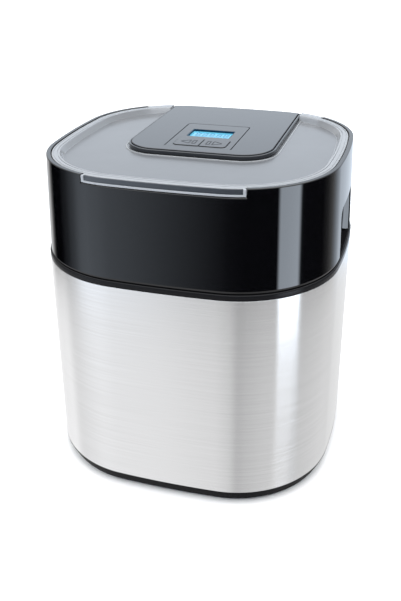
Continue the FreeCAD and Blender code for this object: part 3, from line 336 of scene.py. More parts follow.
def surface(
    name, colour, rough, grain=60.0, drift=0.06, bump=0.0, stretch=(1.0, 1.0, 1.0), rough_drift=0.15, **shader
):
    """A Principled surface. Its tone, roughness and relief drift with a noise in the piece's own space."""
    look = bpy.data.materials.new(name)
    look.use_nodes = True
    nodes, links = look.node_tree.nodes, look.node_tree.links
    base = nodes["Principled BSDF"]
    where = nodes.new("ShaderNodeTexCoord")
    spread = nodes.new("ShaderNodeMapping")
    spread.inputs["Scale"].default_value = stretch
    links.new(where.outputs["Object"], spread.inputs["Vector"])
    noise = nodes.new("ShaderNodeTexNoise")
    noise.inputs["Scale"].default_value = grain
    noise.inputs["Detail"].default_value = 5.0
    noise.inputs["Roughness"].default_value = 0.6
    links.new(spread.outputs["Vector"], noise.inputs["Vector"])
    tone = nodes.new("ShaderNodeMix")
    tone.data_type = "RGBA"
    for socket, factor in (("A", 1.0 - drift), ("B", 1.0 + drift)):
        shade = [min(1.0, c * factor) for c in colour] + [1.0]
        next(s for s in tone.inputs if s.name == socket and s.type == "RGBA").default_value = shade
    links.new(noise.outputs["Fac"], next(s for s in tone.inputs if s.name == "Factor" and s.type == "VALUE"))
    links.new(next(s for s in tone.outputs if s.type == "RGBA"), base.inputs["Base Color"])
    wear = nodes.new("ShaderNodeMapRange")
    wear.inputs["To Min"].default_value = rough * (1.0 - rough_drift)
    wear.inputs["To Max"].default_value = min(1.0, rough * (1.0 + rough_drift))
    links.new(noise.outputs["Fac"], wear.inputs["Value"])
    links.new(wear.outputs["Result"], base.inputs["Roughness"])
    if bump:
        relief = nodes.new("ShaderNodeBump")
        relief.inputs["Strength"].default_value = bump
        relief.inputs["Distance"].default_value = 0.0002
        links.new(noise.outputs["Fac"], relief.inputs["Height"])
        links.new(relief.outputs["Normal"], base.inputs["Normal"])
    for socket, value in shader.items():
        base.inputs[socket.replace("_", " ")].default_value = value
    return look


def brushed(look):
    """Turns the grain's highlights across the brush lines, which run level round the body."""
    nodes, links = look.node_tree.nodes, look.node_tree.links
    along = nodes.new("ShaderNodeTangent")
    along.direction_type = "RADIAL"
    along.axis = "Z"
    links.new(along.outputs["Tangent"], nodes["Principled BSDF"].inputs["Tangent"])
    return look


LOOKS = {
    "steel_brushed": brushed(
        surface(
            "steel_brushed", (0.71, 0.71, 0.716), 0.15, 1.0, 0.12, 0.1, (9.0, 9.0, 1300.0), 0.22,
            Metallic=1.0, Anisotropic=0.9, Anisotropic_Rotation=0.25,
        )
    ),
    "black_gloss": surface("black_gloss", (0.0015, 0.0015, 0.002), 0.03, 90.0, 0.2, 0.003, rough_drift=0.3),
    "black_satin": surface(
        "black_satin", (0.005, 0.005, 0.006), 0.2, 500.0, 0.2, 0.03,
        Specular_IOR_Level=0.15,
    ),
    "rubber_black": surface("rubber_black", (0.015, 0.015, 0.016), 0.65, 900.0, 0.25, 0.2),
    "clear_plastic": surface(
        "clear_plastic", (0.38, 0.395, 0.415), 0.07, 120.0, 0.03, 0.01,
        Transmission_Weight=0.45, IOR=1.49,
    ),
    "edge_plastic": surface("edge_plastic", (0.3, 0.315, 0.34), 0.12, 120.0, 0.03, 0.01),
    "smoke_plastic": surface("smoke_plastic", (0.035, 0.04, 0.048), 0.1, 120.0, 0.05, 0.01),
    "frosted_plastic": surface("frosted_plastic", (0.118, 0.124, 0.134), 0.22, 9.0, 0.2, 0.02),
    "anthracite_gloss": surface("anthracite_gloss", (0.02, 0.022, 0.026), 0.1, 130.0, 0.1, 0.004),
    "tub_plastic": surface("tub_plastic", (0.13, 0.135, 0.14), 0.4, 300.0, 0.1, 0.05),
    "bowl_plastic": surface("bowl_plastic", (0.62, 0.63, 0.64), 0.3, 200.0, 0.05, 0.03),
    "liner_aluminium": surface(
        "liner_aluminium", (0.72, 0.72, 0.73), 0.3, 1.0, 0.05, 0.04, (30.0, 30.0, 1500.0),
        Metallic=1.0,
    ),
    "gel_blue": surface("gel_blue", (0.05, 0.22, 0.55), 0.2, 80.0, 0.15),
    "paddle_plastic": surface("paddle_plastic", (0.6, 0.61, 0.62), 0.34, 200.0, 0.05, 0.03),
    "display_glass": surface(
        "display_glass", (0.9, 0.95, 1.0), 0.04, 60.0, 0.02,
        Transmission_Weight=1.0, IOR=1.12,
    ),
    # On the display's surround this dark blue is painted shade, tinted by the display's blue light.
    "lcd_blue": surface("lcd_blue", (0.003, 0.035, 0.07), 0.4, 300.0, 0.08, Specular_IOR_Level=0.1),
    "board_green": surface("board_green", (0.02, 0.16, 0.06), 0.4, 300.0, 0.2),
    "gear_acetal": surface("gear_acetal", (0.66, 0.65, 0.6), 0.4, 250.0, 0.05, 0.03),
    "zinc_steel": surface("zinc_steel", (0.55, 0.56, 0.58), 0.32, 400.0, 0.1, 0.05, Metallic=1.0),
    "bronze": surface("bronze", (0.5, 0.3, 0.13), 0.35, 400.0, 0.1, 0.05, Metallic=1.0),
    "motor_steel": surface("motor_steel", (0.4, 0.41, 0.43), 0.35, 300.0, 0.1, 0.05, Metallic=1.0),
}
MARK = surface("button_mark", (0.03, 0.032, 0.036), 0.6, 400.0, 0.1, Specular_IOR_Level=0.05)
BACKLIGHT = surface(
    "lcd_backlight", (0.005, 0.03, 0.05), 0.5, 260.0, 0.1,
    Emission_Color=(0.2, 0.72, 0.98, 1.0), Emission_Strength=1.0, Specular_IOR_Level=0.0,
)
SEGMENT = surface(
    "lcd_segment", (0.002, 0.02, 0.04), 0.5, 260.0, 0.1,
    Emission_Color=(0.03, 0.28, 0.52, 1.0), Emission_Strength=1.0, Specular_IOR_Level=0.0,
)


def dress_frame():
    """Gives every node of the frame the surface of its own material slot."""
    for part in frame["record"]["subparts"]:
        node = NODES[part["node"]]
        look = LOOKS[part["material_slot"]]
        if not node.material_slots:
            node.data.materials.append(look)
        for place in node.material_slots:
            place.material = look


# ---- the body ------------------------------------------------------------------------------------


def make_steel_shell():
    """The brushed steel wrap, with its edges folded over."""
    gauge, fold = 0.8, 0.35
    corners = [(0.0, STEEL_LOW, fold), (gauge, STEEL_LOW), (gauge, STEEL_TOP), (0.0, STEEL_TOP, fold)]
    section = rounded(corners, 3)
    look = LOOKS["steel_brushed"]
    shell = plan_ring("steel_band", "base", look, lambda angle: section, replaces=["steel_shell"])


COLLAR_WIDTH, COLLAR_STEP = 5.0, 2.0
SHELF_WIDTH, SHELF_HALF, SHELF_START = 20.4, 33.0, 99.25
SEAM = 0.05  # gap above and below the collar


def make_collar():
    """The dark ledge between steel and housing, with a shelf that closes each grip from below."""

    def section(angle):
        place = plan_point(angle, 0.0)
        at_grip = abs(place.y) < SHELF_HALF and abs(place.x) > SHELF_START
        inner = SHELF_WIDTH if at_grip else COLLAR_WIDTH
        low, top = STEEL_TOP + SEAM, HOUSING_LOW - SEAM
        corners = [(0.0, low, 0.2), (inner, low), (inner, top), (COLLAR_STEP, top)]
        return rounded(corners + [(COLLAR_STEP, COLLAR_TOP, 0.1), (0.0, COLLAR_TOP, 1.1)], 4)

    collar = plan_ring("collar", "base", LOOKS["black_satin"], section, replaces=["collar_ring"])


SIDEWAYS = 0.8  # a wall whose direction leans less to the side than this has no grip
GRIP_EDGE = 1.4  # rounding where the wall turns into a grip


def soft_max(first, second, soft):
    """The larger of two numbers, with a rounded crease where they meet."""
    near = max(soft - abs(first - second), 0.0) / soft
    return max(first, second) + near * near * soft / 4


def wall_inset(height):
    """How far the housing's leaning wall stands in at this height."""
    share = (height - HOUSING_LOW) / (RIM_TOP - HOUSING_LOW)
    return WALL_INSET_LOW + (WALL_INSET_TOP - WALL_INSET_LOW) * share


def outer_inset(angle, height):
    """The housing's outside: its leaning wall, hollowed by a round-topped scoop on each side."""
    lean = wall_inset(height)
    centre, radius, out = plan_arc(angle)
    if abs(out.x) < SIDEWAYS:
        return lean
    ball = GRIP_RADIUS
    above = height - (GRIP_TOP - GRIP_ROUND)
    if above >= GRIP_ROUND:
        return lean
    if above > 0:
        ball += math.sqrt(GRIP_ROUND * GRIP_ROUND - above * above) - GRIP_ROUND
    depth = lean
    for _ in range(3):
        y = centre.y + out.y * (radius - depth)
        room = ball * ball - y * y
        if room <= 0:
            return lean
        x = math.copysign(GRIP_CENTRE - math.sqrt(room), out.x)
        depth = max(lean, radius - (x - centre.x) / out.x)
    scoop = radius - (x - centre.x) / out.x
    return soft_max(lean, scoop, GRIP_EDGE)


# Close rows up past the top of the grips, and wider ones above.
WALL_ROWS = [HOUSING_LOW + 0.9 + i for i in range(43)] + [223.0, 225.0, 228.0, 232.0, 236.0, 240.0, 243.0]


def make_housing():
    """The gloss black upper shell: leaning wall, lid seat, front notch, rear cut, cord notch and grips."""

    def section(angle):
        rim = plan_point(angle, WALL_INSET_TOP)
        top = RIM_TOP
        if rim.y < 0 and abs(rim.x) < TAB_HALF:
            top = LID_SEAT
        if rim.y > 0 and abs(rim.x) < REAR_CUT_HALF:
            top = LID_SEAT
        if rim.y > 0 and abs(rim.x) < CORD_NOTCH_HALF:
            top = CORD_NOTCH_FLOOR
        low, soft = HOUSING_LOW, 0.7
        foot = outer_inset(angle, low)
        points = []
        for k in range(4):
            turn = math.pi / 2 * k / 4
            points.append((foot + soft * (1 - math.sin(turn)), low + soft * (1 - math.cos(turn))))
        for height in WALL_ROWS:
            height = min(height, top - soft)
            points.append((outer_inset(angle, height), height))
        for k in range(5):
            turn = math.pi / 2 * k / 4
            inset = wall_inset(top) + soft * (1 - math.cos(turn))
            points.append((inset, top - soft * (1 - math.sin(turn))))
        inner = wall_inset(top) + RIM_WIDTH
        if top < LID_SEAT:
            points += [(inner, top)] * 5
        else:
            points += [(inner - 0.3, top), (inner, max(top - 0.3, LID_SEAT)), (inner, LID_SEAT)]
            points += [(SEAT_INSET, LID_SEAT), (SEAT_INSET, LID_SEAT - WALL)]
        for height in [LID_SEAT - WALL] + WALL_ROWS[-2::-1] + [low]:
            height = min(height, top)
            inside = max(wall_inset(height) + WALL, outer_inset(angle, height) + GRIP_WALL)
            points.append((inside, height))
        return points

    housing = plan_ring("upper_shell", "base", LOOKS["black_gloss"], section, replaces=["upper_housing"])


# ---- the lid -------------------------------------------------------------------------------------

FLANGE_WIDTH, FLANGE_REACH = 5.9, 16.4
GROOVES = ((1.3, 1.7, 0.45), (4.2, 4.5, 0.3))  # start, end and depth of each, outwards from the crest
TAB_EDGE, TAB_LOW, TAB_LIP = WALL_INSET_TOP + 0.1, LID_SEAT + 0.5, LID_SEAT + 1.9
TAB_THICK = 1.7
PANEL_INSET, PANEL_THICK, PANEL_END = 15.6, 1.9, 50.5
WELL_HALF, WELL_FRONT, WELL_BACK, WELL_LOW, WELL_WALL = 53.0, -28.0, 93.0, 197.5, 2.0
WELL_FRONT_ROUND, WELL_BACK_ROUND = 22.0, 8.0
TROUGH_HALF, TROUGH_FLOOR = 25.5, 225.5
TROUGH_INSIDE = TROUGH_HALF - WELL_WALL
SHAFT_HOLE = 10.0
BEAD_RADIUS, BEAD_GAP, BEAD_END = 0.75, 2.0, 92.0


def rim_section(edge, low, top):
    """The flange's cross-section, as (inset, height) points. It is grooved where it stands at full height."""
    raised = top > LID_PANEL
    foot, crest = LID_LOW + 0.4, LID_EDGE + FLANGE_WIDTH
    slope = (top - LID_PANEL) * math.tan(math.radians(30.0)) if raised else 1.0
    corners = [(edge, low, 0.3), (edge + 3.6, low), (edge + 3.7, foot), (FLANGE_REACH, foot)]
    corners += [(FLANGE_REACH, LID_PANEL - 0.02), (crest + slope, LID_PANEL)]
    corners.append((crest, top, 0.4 if raised else 0.1))
    for start, end, depth in GROOVES:
        floor = top - depth if raised else top
        corners += [(crest - start + 0.1, top), (crest - start, floor)]
        corners += [(crest - end, floor), (crest - end - 0.1, top)]
    lip = max(low + 1.5, min(low + 1.9, top))
    shoulder = lip + 0.2 if raised else min(lip, top - 0.15)
    corners += [(edge, top, 0.5 if raised else 0.1), (edge, shoulder), (edge, min(lip, top - 0.2), 0.1)]
    return rounded(corners, 3)


def rear_cut(x, inset):
    """A place on a straight cut through the rear of the body, at this distance right of the middle."""
    return Vector((x, rear_edge(x, inset)))


def mirrored(place, inset):
    """The same place on the left half of the body."""
    spot = place(inset)
    return Vector((-spot.x, spot.y))


def rim_stations():
    """The right half of the flange, from the front middle to the cord trough, as angle, place and section."""
    tab_end, cut_end, head_end = TAB_HALF - 0.8, REAR_CUT_HALF - 0.8, HEAD_HALF + 0.5
    whole = rim_section(LID_EDGE, LID_LOW, LID_TOP)
    front = rim_section(TAB_EDGE + TAB_THICK, TAB_LOW, LID_TOP)
    rear = rim_section(TAB_EDGE, LID_LOW, LID_TOP)
    under_head = rim_section(TAB_EDGE, LID_LOW, LID_PANEL)
    tab_angle, cut_angle = angle_at(tab_end), 180.0 - angle_at(cut_end)
    stations = []
    for angle in [a for a in ANGLES if a >= 0.0]:
        far, near = plan_point(angle, TAB_EDGE), plan_point(angle, FLANGE_REACH)
        if min(abs(angle - tab_angle), abs(angle - cut_angle)) < 3 * EDGE_STEP:
            continue
        if far.y < 0:
            shape = front if far.x < tab_end else whole
        elif near.x > head_end + 0.2:
            shape = rear if far.x < cut_end else whole
        elif far.x < head_end - 0.3 and near.x > TROUGH_INSIDE + 0.2:
            shape = under_head
        else:
            continue
        stations.append((angle, partial(plan_point, angle), shape))
    for edge, before, after in ((tab_angle, front, whole), (cut_angle, whole, rear)):
        for angle, shape in ((edge - EDGE_STEP, before), (edge + EDGE_STEP, after)):
            stations.append((angle, partial(plan_point, angle), shape))
    head_angle, trough_angle = 180.0 - angle_at(head_end), 180.0 - angle_at(TROUGH_INSIDE)
    stations.append((head_angle - EDGE_STEP, partial(rear_cut, head_end), rear))
    stations.append((head_angle + EDGE_STEP, partial(rear_cut, head_end - 0.1), under_head))
    stations.append((trough_angle, partial(rear_cut, TROUGH_INSIDE), under_head))
    return sorted(stations, key=lambda station: station[0])


def make_lid_rim():
    """The clear flange, with its tab and its rear ends beside the head. It is open at the cord trough."""
    half = rim_stations()
    left = [(partial(mirrored, place), shape) for angle, place, shape in half[:0:-1]]
    right = [(place, shape) for angle, place, shape in half]
    rim = strip("lid_rim", "lid", LOOKS["clear_plastic"], left + right, replaces=["lid"])


def make_lid_tab():
    """The front of the lid's tab: a clear face that shows the dark wall behind, framed by a polished edge."""
    reach, end, split = angle_at(TAB_HALF - 0.5), angle_at(TAB_HALF - 2.4), 0.05
    top, far = LID_TOP - 0.1, TAB_EDGE + TAB_THICK - 0.02

    def frame_section(angle):
        height = top if abs(angle) > end else TAB_LIP
        return rounded([(TAB_EDGE, TAB_LOW, 0.3), (far, TAB_LOW), (far, height), (TAB_EDGE, height, 0.4)], 3)

    def face_section(angle):
        near = TAB_EDGE + 0.7
        return rounded([(near, TAB_LIP), (far, TAB_LIP), (far, top), (near, top, 0.4)], 3)

    inner = [a for a in ANGLES if abs(a) < end - 3 * split]
    frame = [-reach, -end - split, -end + split] + inner + [end - split, end + split, reach]
    polished = plan_strip("lid_tab_edge", "lid", LOOKS["edge_plastic"], frame, frame_section)
    face = plan_strip("lid_tab_face", "lid", LOOKS["smoke_plastic"], [-end] + inner + [end], face_section)


def well_outline():
    """The well seen from above, with two close points at each edge of the notch for the cord trough."""
    half, notch, split = WELL_HALF, TROUGH_INSIDE, 0.05
    front = [(-half, WELL_FRONT, WELL_FRONT_ROUND), (half, WELL_FRONT, WELL_FRONT_ROUND)]
    edges = [(x, WELL_BACK) for x in (notch + split, notch - split, -notch + split, -notch - split)]
    back_right, back_left = (half, WELL_BACK, WELL_BACK_ROUND), (-half, WELL_BACK, WELL_BACK_ROUND)
    return rounded(front + [back_right] + edges + [back_left], 10)


def make_lid_panel():
    """The frosted middle of the lid, which reaches round the well and ends beside its rear corners."""
    bend = WELL_BACK - WELL_BACK_ROUND
    outer = [p for p in (plan_point(a, PANEL_INSET) for a in ANGLES) if p.y < 0 or abs(p.x) > PANEL_END]
    well = shrunk(well_outline(), 0.05)
    start = next(i for i, p in enumerate(well) if p.y > bend and p.x < -PANEL_END)
    well = [p for p in well[start:] + well[:start] if p.y < bend or abs(p.x) > PANEL_END]
    panel = plate("lid_panel", "lid", LOOKS["frosted_plastic"], outer + well[::-1], LID_PANEL - PANEL_THICK,
                  LID_PANEL, 0.1)


def make_lid_bead():
    """The low bead on the panel that follows the head."""
    path = [p for p in head_outline(-BEAD_GAP) if p.y < BEAD_END]
    path = [Vector((path[0].x, BEAD_END))] + path + [Vector((path[-1].x, BEAD_END))]
    bead = Solid()
    loops = []
    steps = 6
    for i, here in enumerate(path):
        ahead, behind = path[min(i + 1, len(path) - 1)], path[max(i - 1, 0)]
        run = (ahead - behind).normalized()
        out = Vector((run.y, -run.x))
        ring = []
        for k in range(steps + 1):
            turn = math.pi * k / steps
            spot = here + out * (BEAD_RADIUS * math.cos(turn))
            ring.append((spot.x, spot.y, LID_PANEL - 0.05 + 0.7 * math.sin(turn)))
        loops.append(bead.loop(ring))
    for first, second in zip(loops, loops[1:]):
        bead.band(first, second)
    bead.mesh.faces.new(loops[0])
    bead.mesh.faces.new(loops[-1][::-1])
    bead.place("lid_bead", "lid", LOOKS["clear_plastic"], sharp=60.0)


def make_lid_well():
    """The open well that holds the head, notched at the rear for the cord trough."""
    solid = Solid()
    outline = well_outline()
    inside, floor = shrunk(outline, WELL_WALL), WELL_LOW + WELL_WALL

    def rim(points):
        ring = []
        for p, base in zip(points, outline):
            low = base.y > WELL_BACK - 0.5 and abs(base.x) < TROUGH_INSIDE
            ring.append(Vector((p.x, p.y, TROUGH_FLOOR + WELL_WALL if low else LID_PANEL - 0.3)))
        return ring

    foot = [(1.2, WELL_LOW), (0.3, WELL_LOW + 0.3), (0.0, WELL_LOW + 1.2)]
    rings = [level(shrunk(outline, inset), height) for inset, height in foot]
    outer_low, inner_low = solid.stack(rings + [rim(outline), rim(inside), level(inside, floor)])
    hole = circle(SHAFT_HOLE)
    hole_low, hole_top = solid.stack([level(hole, WELL_LOW), level(hole, floor)])
    solid.cap(outer_low, hole_low)
    solid.cap(inner_low, hole_top)
    solid.place("lid_well", "lid", LOOKS["frosted_plastic"])


def make_cord_trough():
    """The open trough in the lid that runs from the well to the rear edge, under the cord gland."""
    floor, top = TROUGH_FLOOR, LID_PANEL - 0.1
    outer, inner = TROUGH_HALF, TROUGH_INSIDE
    shape = [(-outer, floor), (outer, floor), (outer, top), (inner, top), (inner, floor + WELL_WALL)]
    shape += [(-inner, floor + WELL_WALL), (-inner, top), (-outer, top)]
    trough = Solid()
    ends = [[(x, y, z) for x, z in shape] for y in (WELL_BACK + 0.05, rear_edge(outer, TAB_EDGE))]
    first, last = trough.stack(ends)
    trough.cap(first)
    trough.cap(last)
    trough.place("lid_trough", "lid", LOOKS["frosted_plastic"])


# ---- the drive head ------------------------------------------------------------------------------

# Left, right, front and back of each field.
PANEL = (-25.0, 25.0, -20.0, 44.0)
WINDOW = (-17.0, 17.0, 8.5, 29.0)
KEYS = (-20.4, 20.4, -17.4, 1.3)
OPENING = (-48.0, 48.0, -23.0, 87.5)
COVER_LOW, FRAME_LOW, FRAME_TOP = 246.9, 245.6, 248.7
LEDGE_INSET, COVER_INSET = 1.3, 2.1
DIGITS, DIGIT_PITCH, DIGIT_WIDTH, DIGIT_HEIGHT, DIGIT_STROKE = 5, 5.6, 4.0, 8.6, 1.0
DIGIT_LEFT, DIGIT_FRONT = 4.2, 7.6  # the first digit's corner, measured from the window's
KEY_PROUD, MARK_LINE = 0.5, 0.55


def grown(box, amount):
    """The box with each side moved out by this much."""
    left, right, front, back = box
    return (left - amount, right + amount, front - amount, back + amount)


def make_bezel():
    """The dark edge of the head, with a ledge that the cover lies in and a large opening under it."""
    ledge_line = head_outline(LEDGE_INSET)
    opening = box_outline(*OPENING, 15.0, 4.0)
    bezel = Solid()
    rings = soft_edges(head_outline(), FRAME_LOW, FRAME_TOP, 0.6, 0.8)
    rings.append(level(shrunk(head_outline(), 1.15), FRAME_TOP))
    rings.append(level(ledge_line, FRAME_TOP - 0.15))
    rings.append(level(ledge_line, COVER_LOW - 0.1))
    low_edge, ledge = bezel.stack(rings)
    hole_top, hole_low = bezel.stack([level(opening, COVER_LOW - 0.1), level(opening, FRAME_LOW)])
    bezel.cap(low_edge, hole_low)
    bezel.cap(ledge, hole_top)
    piece = bezel.place("head_bezel", "head", LOOKS["anthracite_gloss"], replaces=["head_frame"])


def make_cover():
    """The cover plate, and the insert that carries the display and the keys."""
    gloss, gap = LOOKS["anthracite_gloss"], 0.7
    left, right, front, back = PANEL
    hole = box_outline(left - gap, right + gap, front - 0.02, back + gap, None, 3.0)
    outline = head_outline(COVER_INSET)
    cover = plate("head_plate", "head", gloss, outline, COVER_LOW, HEAD_TOP, 0.5, [hole], 0.08,
                  replaces=["head_cover"])
    outline = box_outline(*PANEL, None, 2.5)
    holes = [box_outline(*WINDOW, 0.8, 0.8), box_outline(*KEYS, 3.4, 1.0)]
    insert = plate("head_insert", "head", gloss, outline, COVER_LOW, HEAD_TOP, 0.12, holes, 0.25,
                   replaces=["control_panel"])


def digit_strokes(x, y):
    """The boxes of one digit's strokes, three level ones and four upright ones."""
    width, height, stroke = DIGIT_WIDTH, DIGIT_HEIGHT, DIGIT_STROKE
    middle = height / 2
    strokes = []
    for at in (stroke / 2, middle, height - stroke / 2):
        strokes.append((x + stroke, x + width - stroke, y + at - stroke / 2, y + at + stroke / 2))
    for side in (x, x + width - stroke):
        strokes.append((side, side + stroke, y + 0.9, y + middle - 0.6))
        strokes.append((side, side + stroke, y + middle + 0.6, y + height - 0.9))
    return strokes


def make_display():
    """A lit display under a clear window, with five dark digits. The dark blue surround in the window is
    painted shade, lit blue by the display, and is widest at the left and far side.
    """
    left, right, front, back = WINDOW
    lens_top, face = HEAD_TOP - 1.5, HEAD_TOP - 2.1
    outline = box_outline(*grown(WINDOW, -0.2))
    lens = plate("display_window", "head", LOOKS["display_glass"], outline, face + 0.15, lens_top, 0.1,
                 replaces=["display_lens"])
    outline = box_outline(*grown(WINDOW, -0.1))
    lit = plate("display_face", "head", BACKLIGHT, outline, face - 1.5, face, 0.05, replaces=["lcd_module"])
    outline = box_outline(*grown(WINDOW, -0.05))
    hole = box_outline(left + 0.8, right - 0.5, front + 0.5, back - 0.7)
    # Painted shade: the surround's dark blue stands for the recess walls in shade, lit blue by the display.
    # Its band is widest at the left and far side, where that shade falls.
    trim = plate("display_recess_shade", "head", LOOKS["lcd_blue"], outline, lens_top + 0.02, HEAD_TOP - 0.15,
                 0.05, [hole], 0.05)
    marks = Solid()
    low = face + 0.01
    for digit in range(DIGITS):
        for stroke_box in digit_strokes(left + DIGIT_LEFT + digit * DIGIT_PITCH, front + DIGIT_FRONT):
            outline = box_outline(*stroke_box)
            bottom, top = marks.stack([level(outline, low), level(outline, low + 0.08)])
            marks.cap(bottom)
            marks.cap(top)
    marks.place("display_digits", "head", SEGMENT)


def outlined(solid, outline, line, low, high):
    """A raised line of that width round the inside of an outline."""
    inner = shrunk(outline, line)
    outer_low, outer_top = solid.stack([level(outline, low), level(outline, high)])
    inner_low, inner_top = solid.stack([level(inner, low), level(inner, high)])
    solid.cap(outer_low, inner_low)
    solid.cap(outer_top, inner_top)


def make_buttons():
    """Two keys side by side, each with a raised arrow and bar. The outlines are those of the right key."""
    top = HEAD_TOP + KEY_PROUD
    for name, side in (("left", -1.0), ("right", 1.0)):
        corners = [(0.3, -17.0), (20.0, -17.0, 3.0), (20.0, 0.9, 0.8), (0.3, 0.9)]
        arrow = [(8.7, -13.2, 0.7), (16.6, -8.2, 0.7), (8.7, -3.2, 0.7)]
        column = [(4.0, -12.6, 0.6), (7.0, -12.6, 0.6), (7.0, -3.8, 0.6), (4.0, -3.8, 0.6)]
        shapes = []
        for shape in (corners, arrow, column):
            flipped = [(c[0] * side,) + tuple(c[1:]) for c in shape]
            shapes.append(rounded(flipped if side > 0 else flipped[::-1], 6))
        body = "button_" + name
        key = plate("key_" + name, body, LOOKS["anthracite_gloss"], shapes[0], COVER_LOW - 1.2, top, 0.45,
                    replaces=[body])
        marks = Solid()
        for shape in shapes[1:]:
            outlined(marks, shape, MARK_LINE, top - 0.1, top + 0.08)
        marks.place("key_mark_" + name, body, MARK)


# ---- studio --------------------------------------------------------------------------------------

CAMERA_PLACE = Vector((160.594, -556.28, 414.67)) * MM
CAMERA_SIDE, CAMERA_HEIGHT, CAMERA_ROLL = 16.474, 24.649, -0.45
CAMERA_LENS, CAMERA_RISE = 47.03, -0.0666


def make_camera():
    """The camera, placed and turned by its direction and height in degrees."""
    data = bpy.data.cameras.new("photo_camera")
    data.sensor_width = 36.0
    data.lens = CAMERA_LENS
    data.shift_y = CAMERA_RISE
    data.clip_start = 0.01
    camera = bpy.data.objects.new("photo_camera", data)
    bpy.context.scene.collection.objects.link(camera)
    side, height, roll = (math.radians(a) for a in (CAMERA_SIDE, CAMERA_HEIGHT, CAMERA_ROLL))
    back = Vector((math.sin(side) * math.cos(height), -math.cos(side) * math.cos(height), math.sin(height)))
    right = Vector((math.cos(side), math.sin(side), 0.0))
    up = back.cross(right)
    tilted_right = right * math.cos(roll) + up * math.sin(roll)
    tilted_up = up * math.cos(roll) - right * math.sin(roll)
    turn = Matrix((tilted_right, tilted_up, back)).transposed()
    camera.matrix_world = Matrix.Translation(CAMERA_PLACE) @ turn.to_4x4()
    bpy.context.scene.camera = camera


# Brightness of the soft panels that stand round the object, by direction (0 front, 90 right).
SIDE_PANELS = [
    (-180, 1.0), (-130, 1.0), (-122, 0.3), (-116, 0.0), (-98, 0.0), (-86, 0.12), (-74, 0.5), (-64, 1.1),
    (-55, 1.3), (-40, 1.25), (-30, 1.1), (-18, 0.52), (-9, 0.14), (3, 0.05), (20, 0.01), (57, 0.01),
    (60, 5.4), (82, 5.6), (86, 0.05), (92, 0.01), (118, 0.01), (128, 0.12), (138, 0.35), (150, 0.75),
    (163, 1.0), (180, 1.0),
]
# Near eye level the same panels are evened out, so that the steel doesn't look black or burnt from there.
UPPER_PANELS = [(angle, min(max(glow, 0.4), 1.3)) for angle, glow in SIDE_PANELS]
# Brightness of the pale table that the steel mirrors, by the same directions.
TABLE_GLOW = [
    (-180, 0.95), (-120, 1.1), (-102, 1.2), (-88, 0.98), (-50, 1.12), (-20, 1.08), (-8, 0.98), (6, 0.88),
    (16, 0.67), (28, 0.74), (46, 0.82), (57, 0.84), (62, 0.95), (79, 0.95), (85, 0.78), (112, 0.85),
    (135, 0.9), (160, 0.85), (180, 0.95),
]
# Brightness of the upper walls of the studio, and of the wide lamp overhead.
CEILING_GLOW = [
    (-180, 1.3), (-150, 1.25), (-138, 0.9), (-100, 0.8), (-60, 0.85), (60, 0.85), (100, 0.8), (150, 0.9),
    (172, 1.3), (180, 1.3),
]
OVERHEAD = 3.2
PANEL_TINT, CEILING_TINT = (0.97, 1.08, 1.22), (0.93, 1.02, 1.13)
# Heights, as the upward part of a direction, between which each part of the studio gives way to the next.
TABLE_END, PANELS_END, SIDES_END, LAMP_START = (-0.42, -0.405), (-0.26, -0.2), (0.05, 0.3), (0.62, 0.75)
FULL_SCALE = 8.0  # colour ramps hold values up to 1, so every brightness is divided by this


def ramp(nodes, links, turn, stops, tint=(1.0, 1.0, 1.0)):
    """A colour ramp over the compass, with stops in degrees. Toward the rear corners it isn't tinted."""
    node = nodes.new("ShaderNodeValToRGB")
    points = node.color_ramp.elements
    while len(points) < len(stops):
        points.new(0.5)
    for point, (angle, value) in zip(points, stops):
        plain = 95.0 < abs(angle) < 145.0
        point.position = (angle + 180.0) / 360.0
        point.color = [value * (1.0 if plain else part) / FULL_SCALE for part in tint] + [1.0]
    links.new(turn, node.inputs["Fac"])
    return node.outputs["Color"]


def blended(nodes, links, factor, first, second):
    """A mix of two colours by a factor."""
    node = nodes.new("ShaderNodeMix")
    node.data_type = "RGBA"
    colours = [s for s in node.inputs if s.type == "RGBA"]
    links.new(factor, node.inputs[0])
    links.new(first, colours[0])
    links.new(second, colours[1])
    return next(s for s in node.outputs if s.type == "RGBA")


def step_between(nodes, links, value, low, high):
    """A soft step from 0 to 1 as the value rises from low to high."""
    node = nodes.new("ShaderNodeMapRange")
    node.interpolation_type = "SMOOTHSTEP"
    node.inputs["From Min"].default_value = low
    node.inputs["From Max"].default_value = high
    links.new(value, node.inputs["Value"])
    return node.outputs["Result"]


def stage_piece(name, rings, look, hidden_from):
    """An open sheet of the set, made of rings, that some kinds of light ray pass through."""
    sheet = Solid()
    sheet.stack(rings)
    bmesh.ops.remove_doubles(sheet.mesh, verts=sheet.mesh.verts, dist=1.0)
    bmesh.ops.scale(sheet.mesh, vec=(MM, MM, MM), verts=sheet.mesh.verts)
    data = bpy.data.meshes.new(name)
    sheet.mesh.to_mesh(data)
    sheet.mesh.free()
    data.materials.append(look)
    piece = bpy.data.objects.new(name, data)
    bpy.context.scene.collection.objects.link(piece)
    for ray in hidden_from:
        setattr(piece, "visible_" + ray, False)


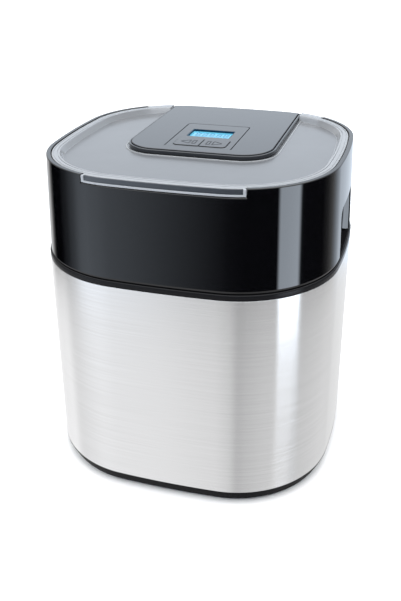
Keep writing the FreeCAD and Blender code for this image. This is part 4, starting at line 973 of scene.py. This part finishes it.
def make_backdrop():
    """A pale floor, and a pale dome that only the camera sees, so the horizon stays plain from every side."""
    pale = surface("pale_floor", (0.86, 0.86, 0.86), 0.9, 3.0, 0.01, Specular_IOR_Level=0.0)
    reach, steps, round_steps = 9000.0, 16, 96
    floor = [level(circle(radius, round_steps), -0.02) for radius in (0.01, 400.0, reach)]
    stage_piece("floor", floor, pale, ["glossy"])
    rings = []
    for k in range(steps):
        turn = math.pi / 2 * k / steps
        rings.append(level(circle(reach * math.cos(turn), round_steps), reach * math.sin(turn)))
    stage_piece("backdrop", rings, pale, ["glossy", "diffuse", "transmission", "shadow"])


def make_studio():
    """Soft panels all round, a bright ceiling, and a pale floor."""
    world = bpy.data.worlds.new("studio")
    bpy.context.scene.world = world
    world.use_nodes = True
    nodes, links = world.node_tree.nodes, world.node_tree.links
    where = nodes.new("ShaderNodeTexCoord")
    parts = nodes.new("ShaderNodeSeparateXYZ")
    links.new(where.outputs["Generated"], parts.inputs["Vector"])
    front = nodes.new("ShaderNodeMath")
    front.operation = "MULTIPLY"
    front.inputs[1].default_value = -1.0
    links.new(parts.outputs["Y"], front.inputs[0])
    compass = nodes.new("ShaderNodeMath")
    compass.operation = "ARCTAN2"
    links.new(parts.outputs["X"], compass.inputs[0])
    links.new(front.outputs[0], compass.inputs[1])
    share = nodes.new("ShaderNodeMapRange")
    share.inputs["From Min"].default_value = -math.pi
    share.inputs["From Max"].default_value = math.pi
    links.new(compass.outputs[0], share.inputs["Value"])
    turn, height = share.outputs["Result"], parts.outputs["Z"]

    def change(limits, below, above):
        return blended(nodes, links, step_between(nodes, links, height, *limits), below, above)

    low_panels = ramp(nodes, links, turn, SIDE_PANELS, PANEL_TINT)
    high_panels = ramp(nodes, links, turn, UPPER_PANELS, PANEL_TINT)
    table = ramp(nodes, links, turn, TABLE_GLOW)
    ceiling = ramp(nodes, links, turn, CEILING_GLOW, CEILING_TINT)
    lamp = ramp(nodes, links, turn, [(-180, OVERHEAD), (180, OVERHEAD)])
    panels = change(PANELS_END, low_panels, high_panels)
    lower = change(TABLE_END, table, panels)
    upper = change(SIDES_END, lower, ceiling)
    glow = nodes["Background"]
    links.new(change(LAMP_START, upper, lamp), glow.inputs["Color"])
    glow.inputs["Strength"].default_value = FULL_SCALE

    make_backdrop()
    bpy.context.scene.view_settings.view_transform = "Standard"


dress_frame()
make_steel_shell()
make_collar()
make_housing()
make_lid_rim()
make_lid_tab()
make_lid_panel()
make_lid_bead()
make_lid_well()
make_cord_trough()
make_bezel()
make_cover()
make_display()
make_buttons()
make_studio()
make_camera()
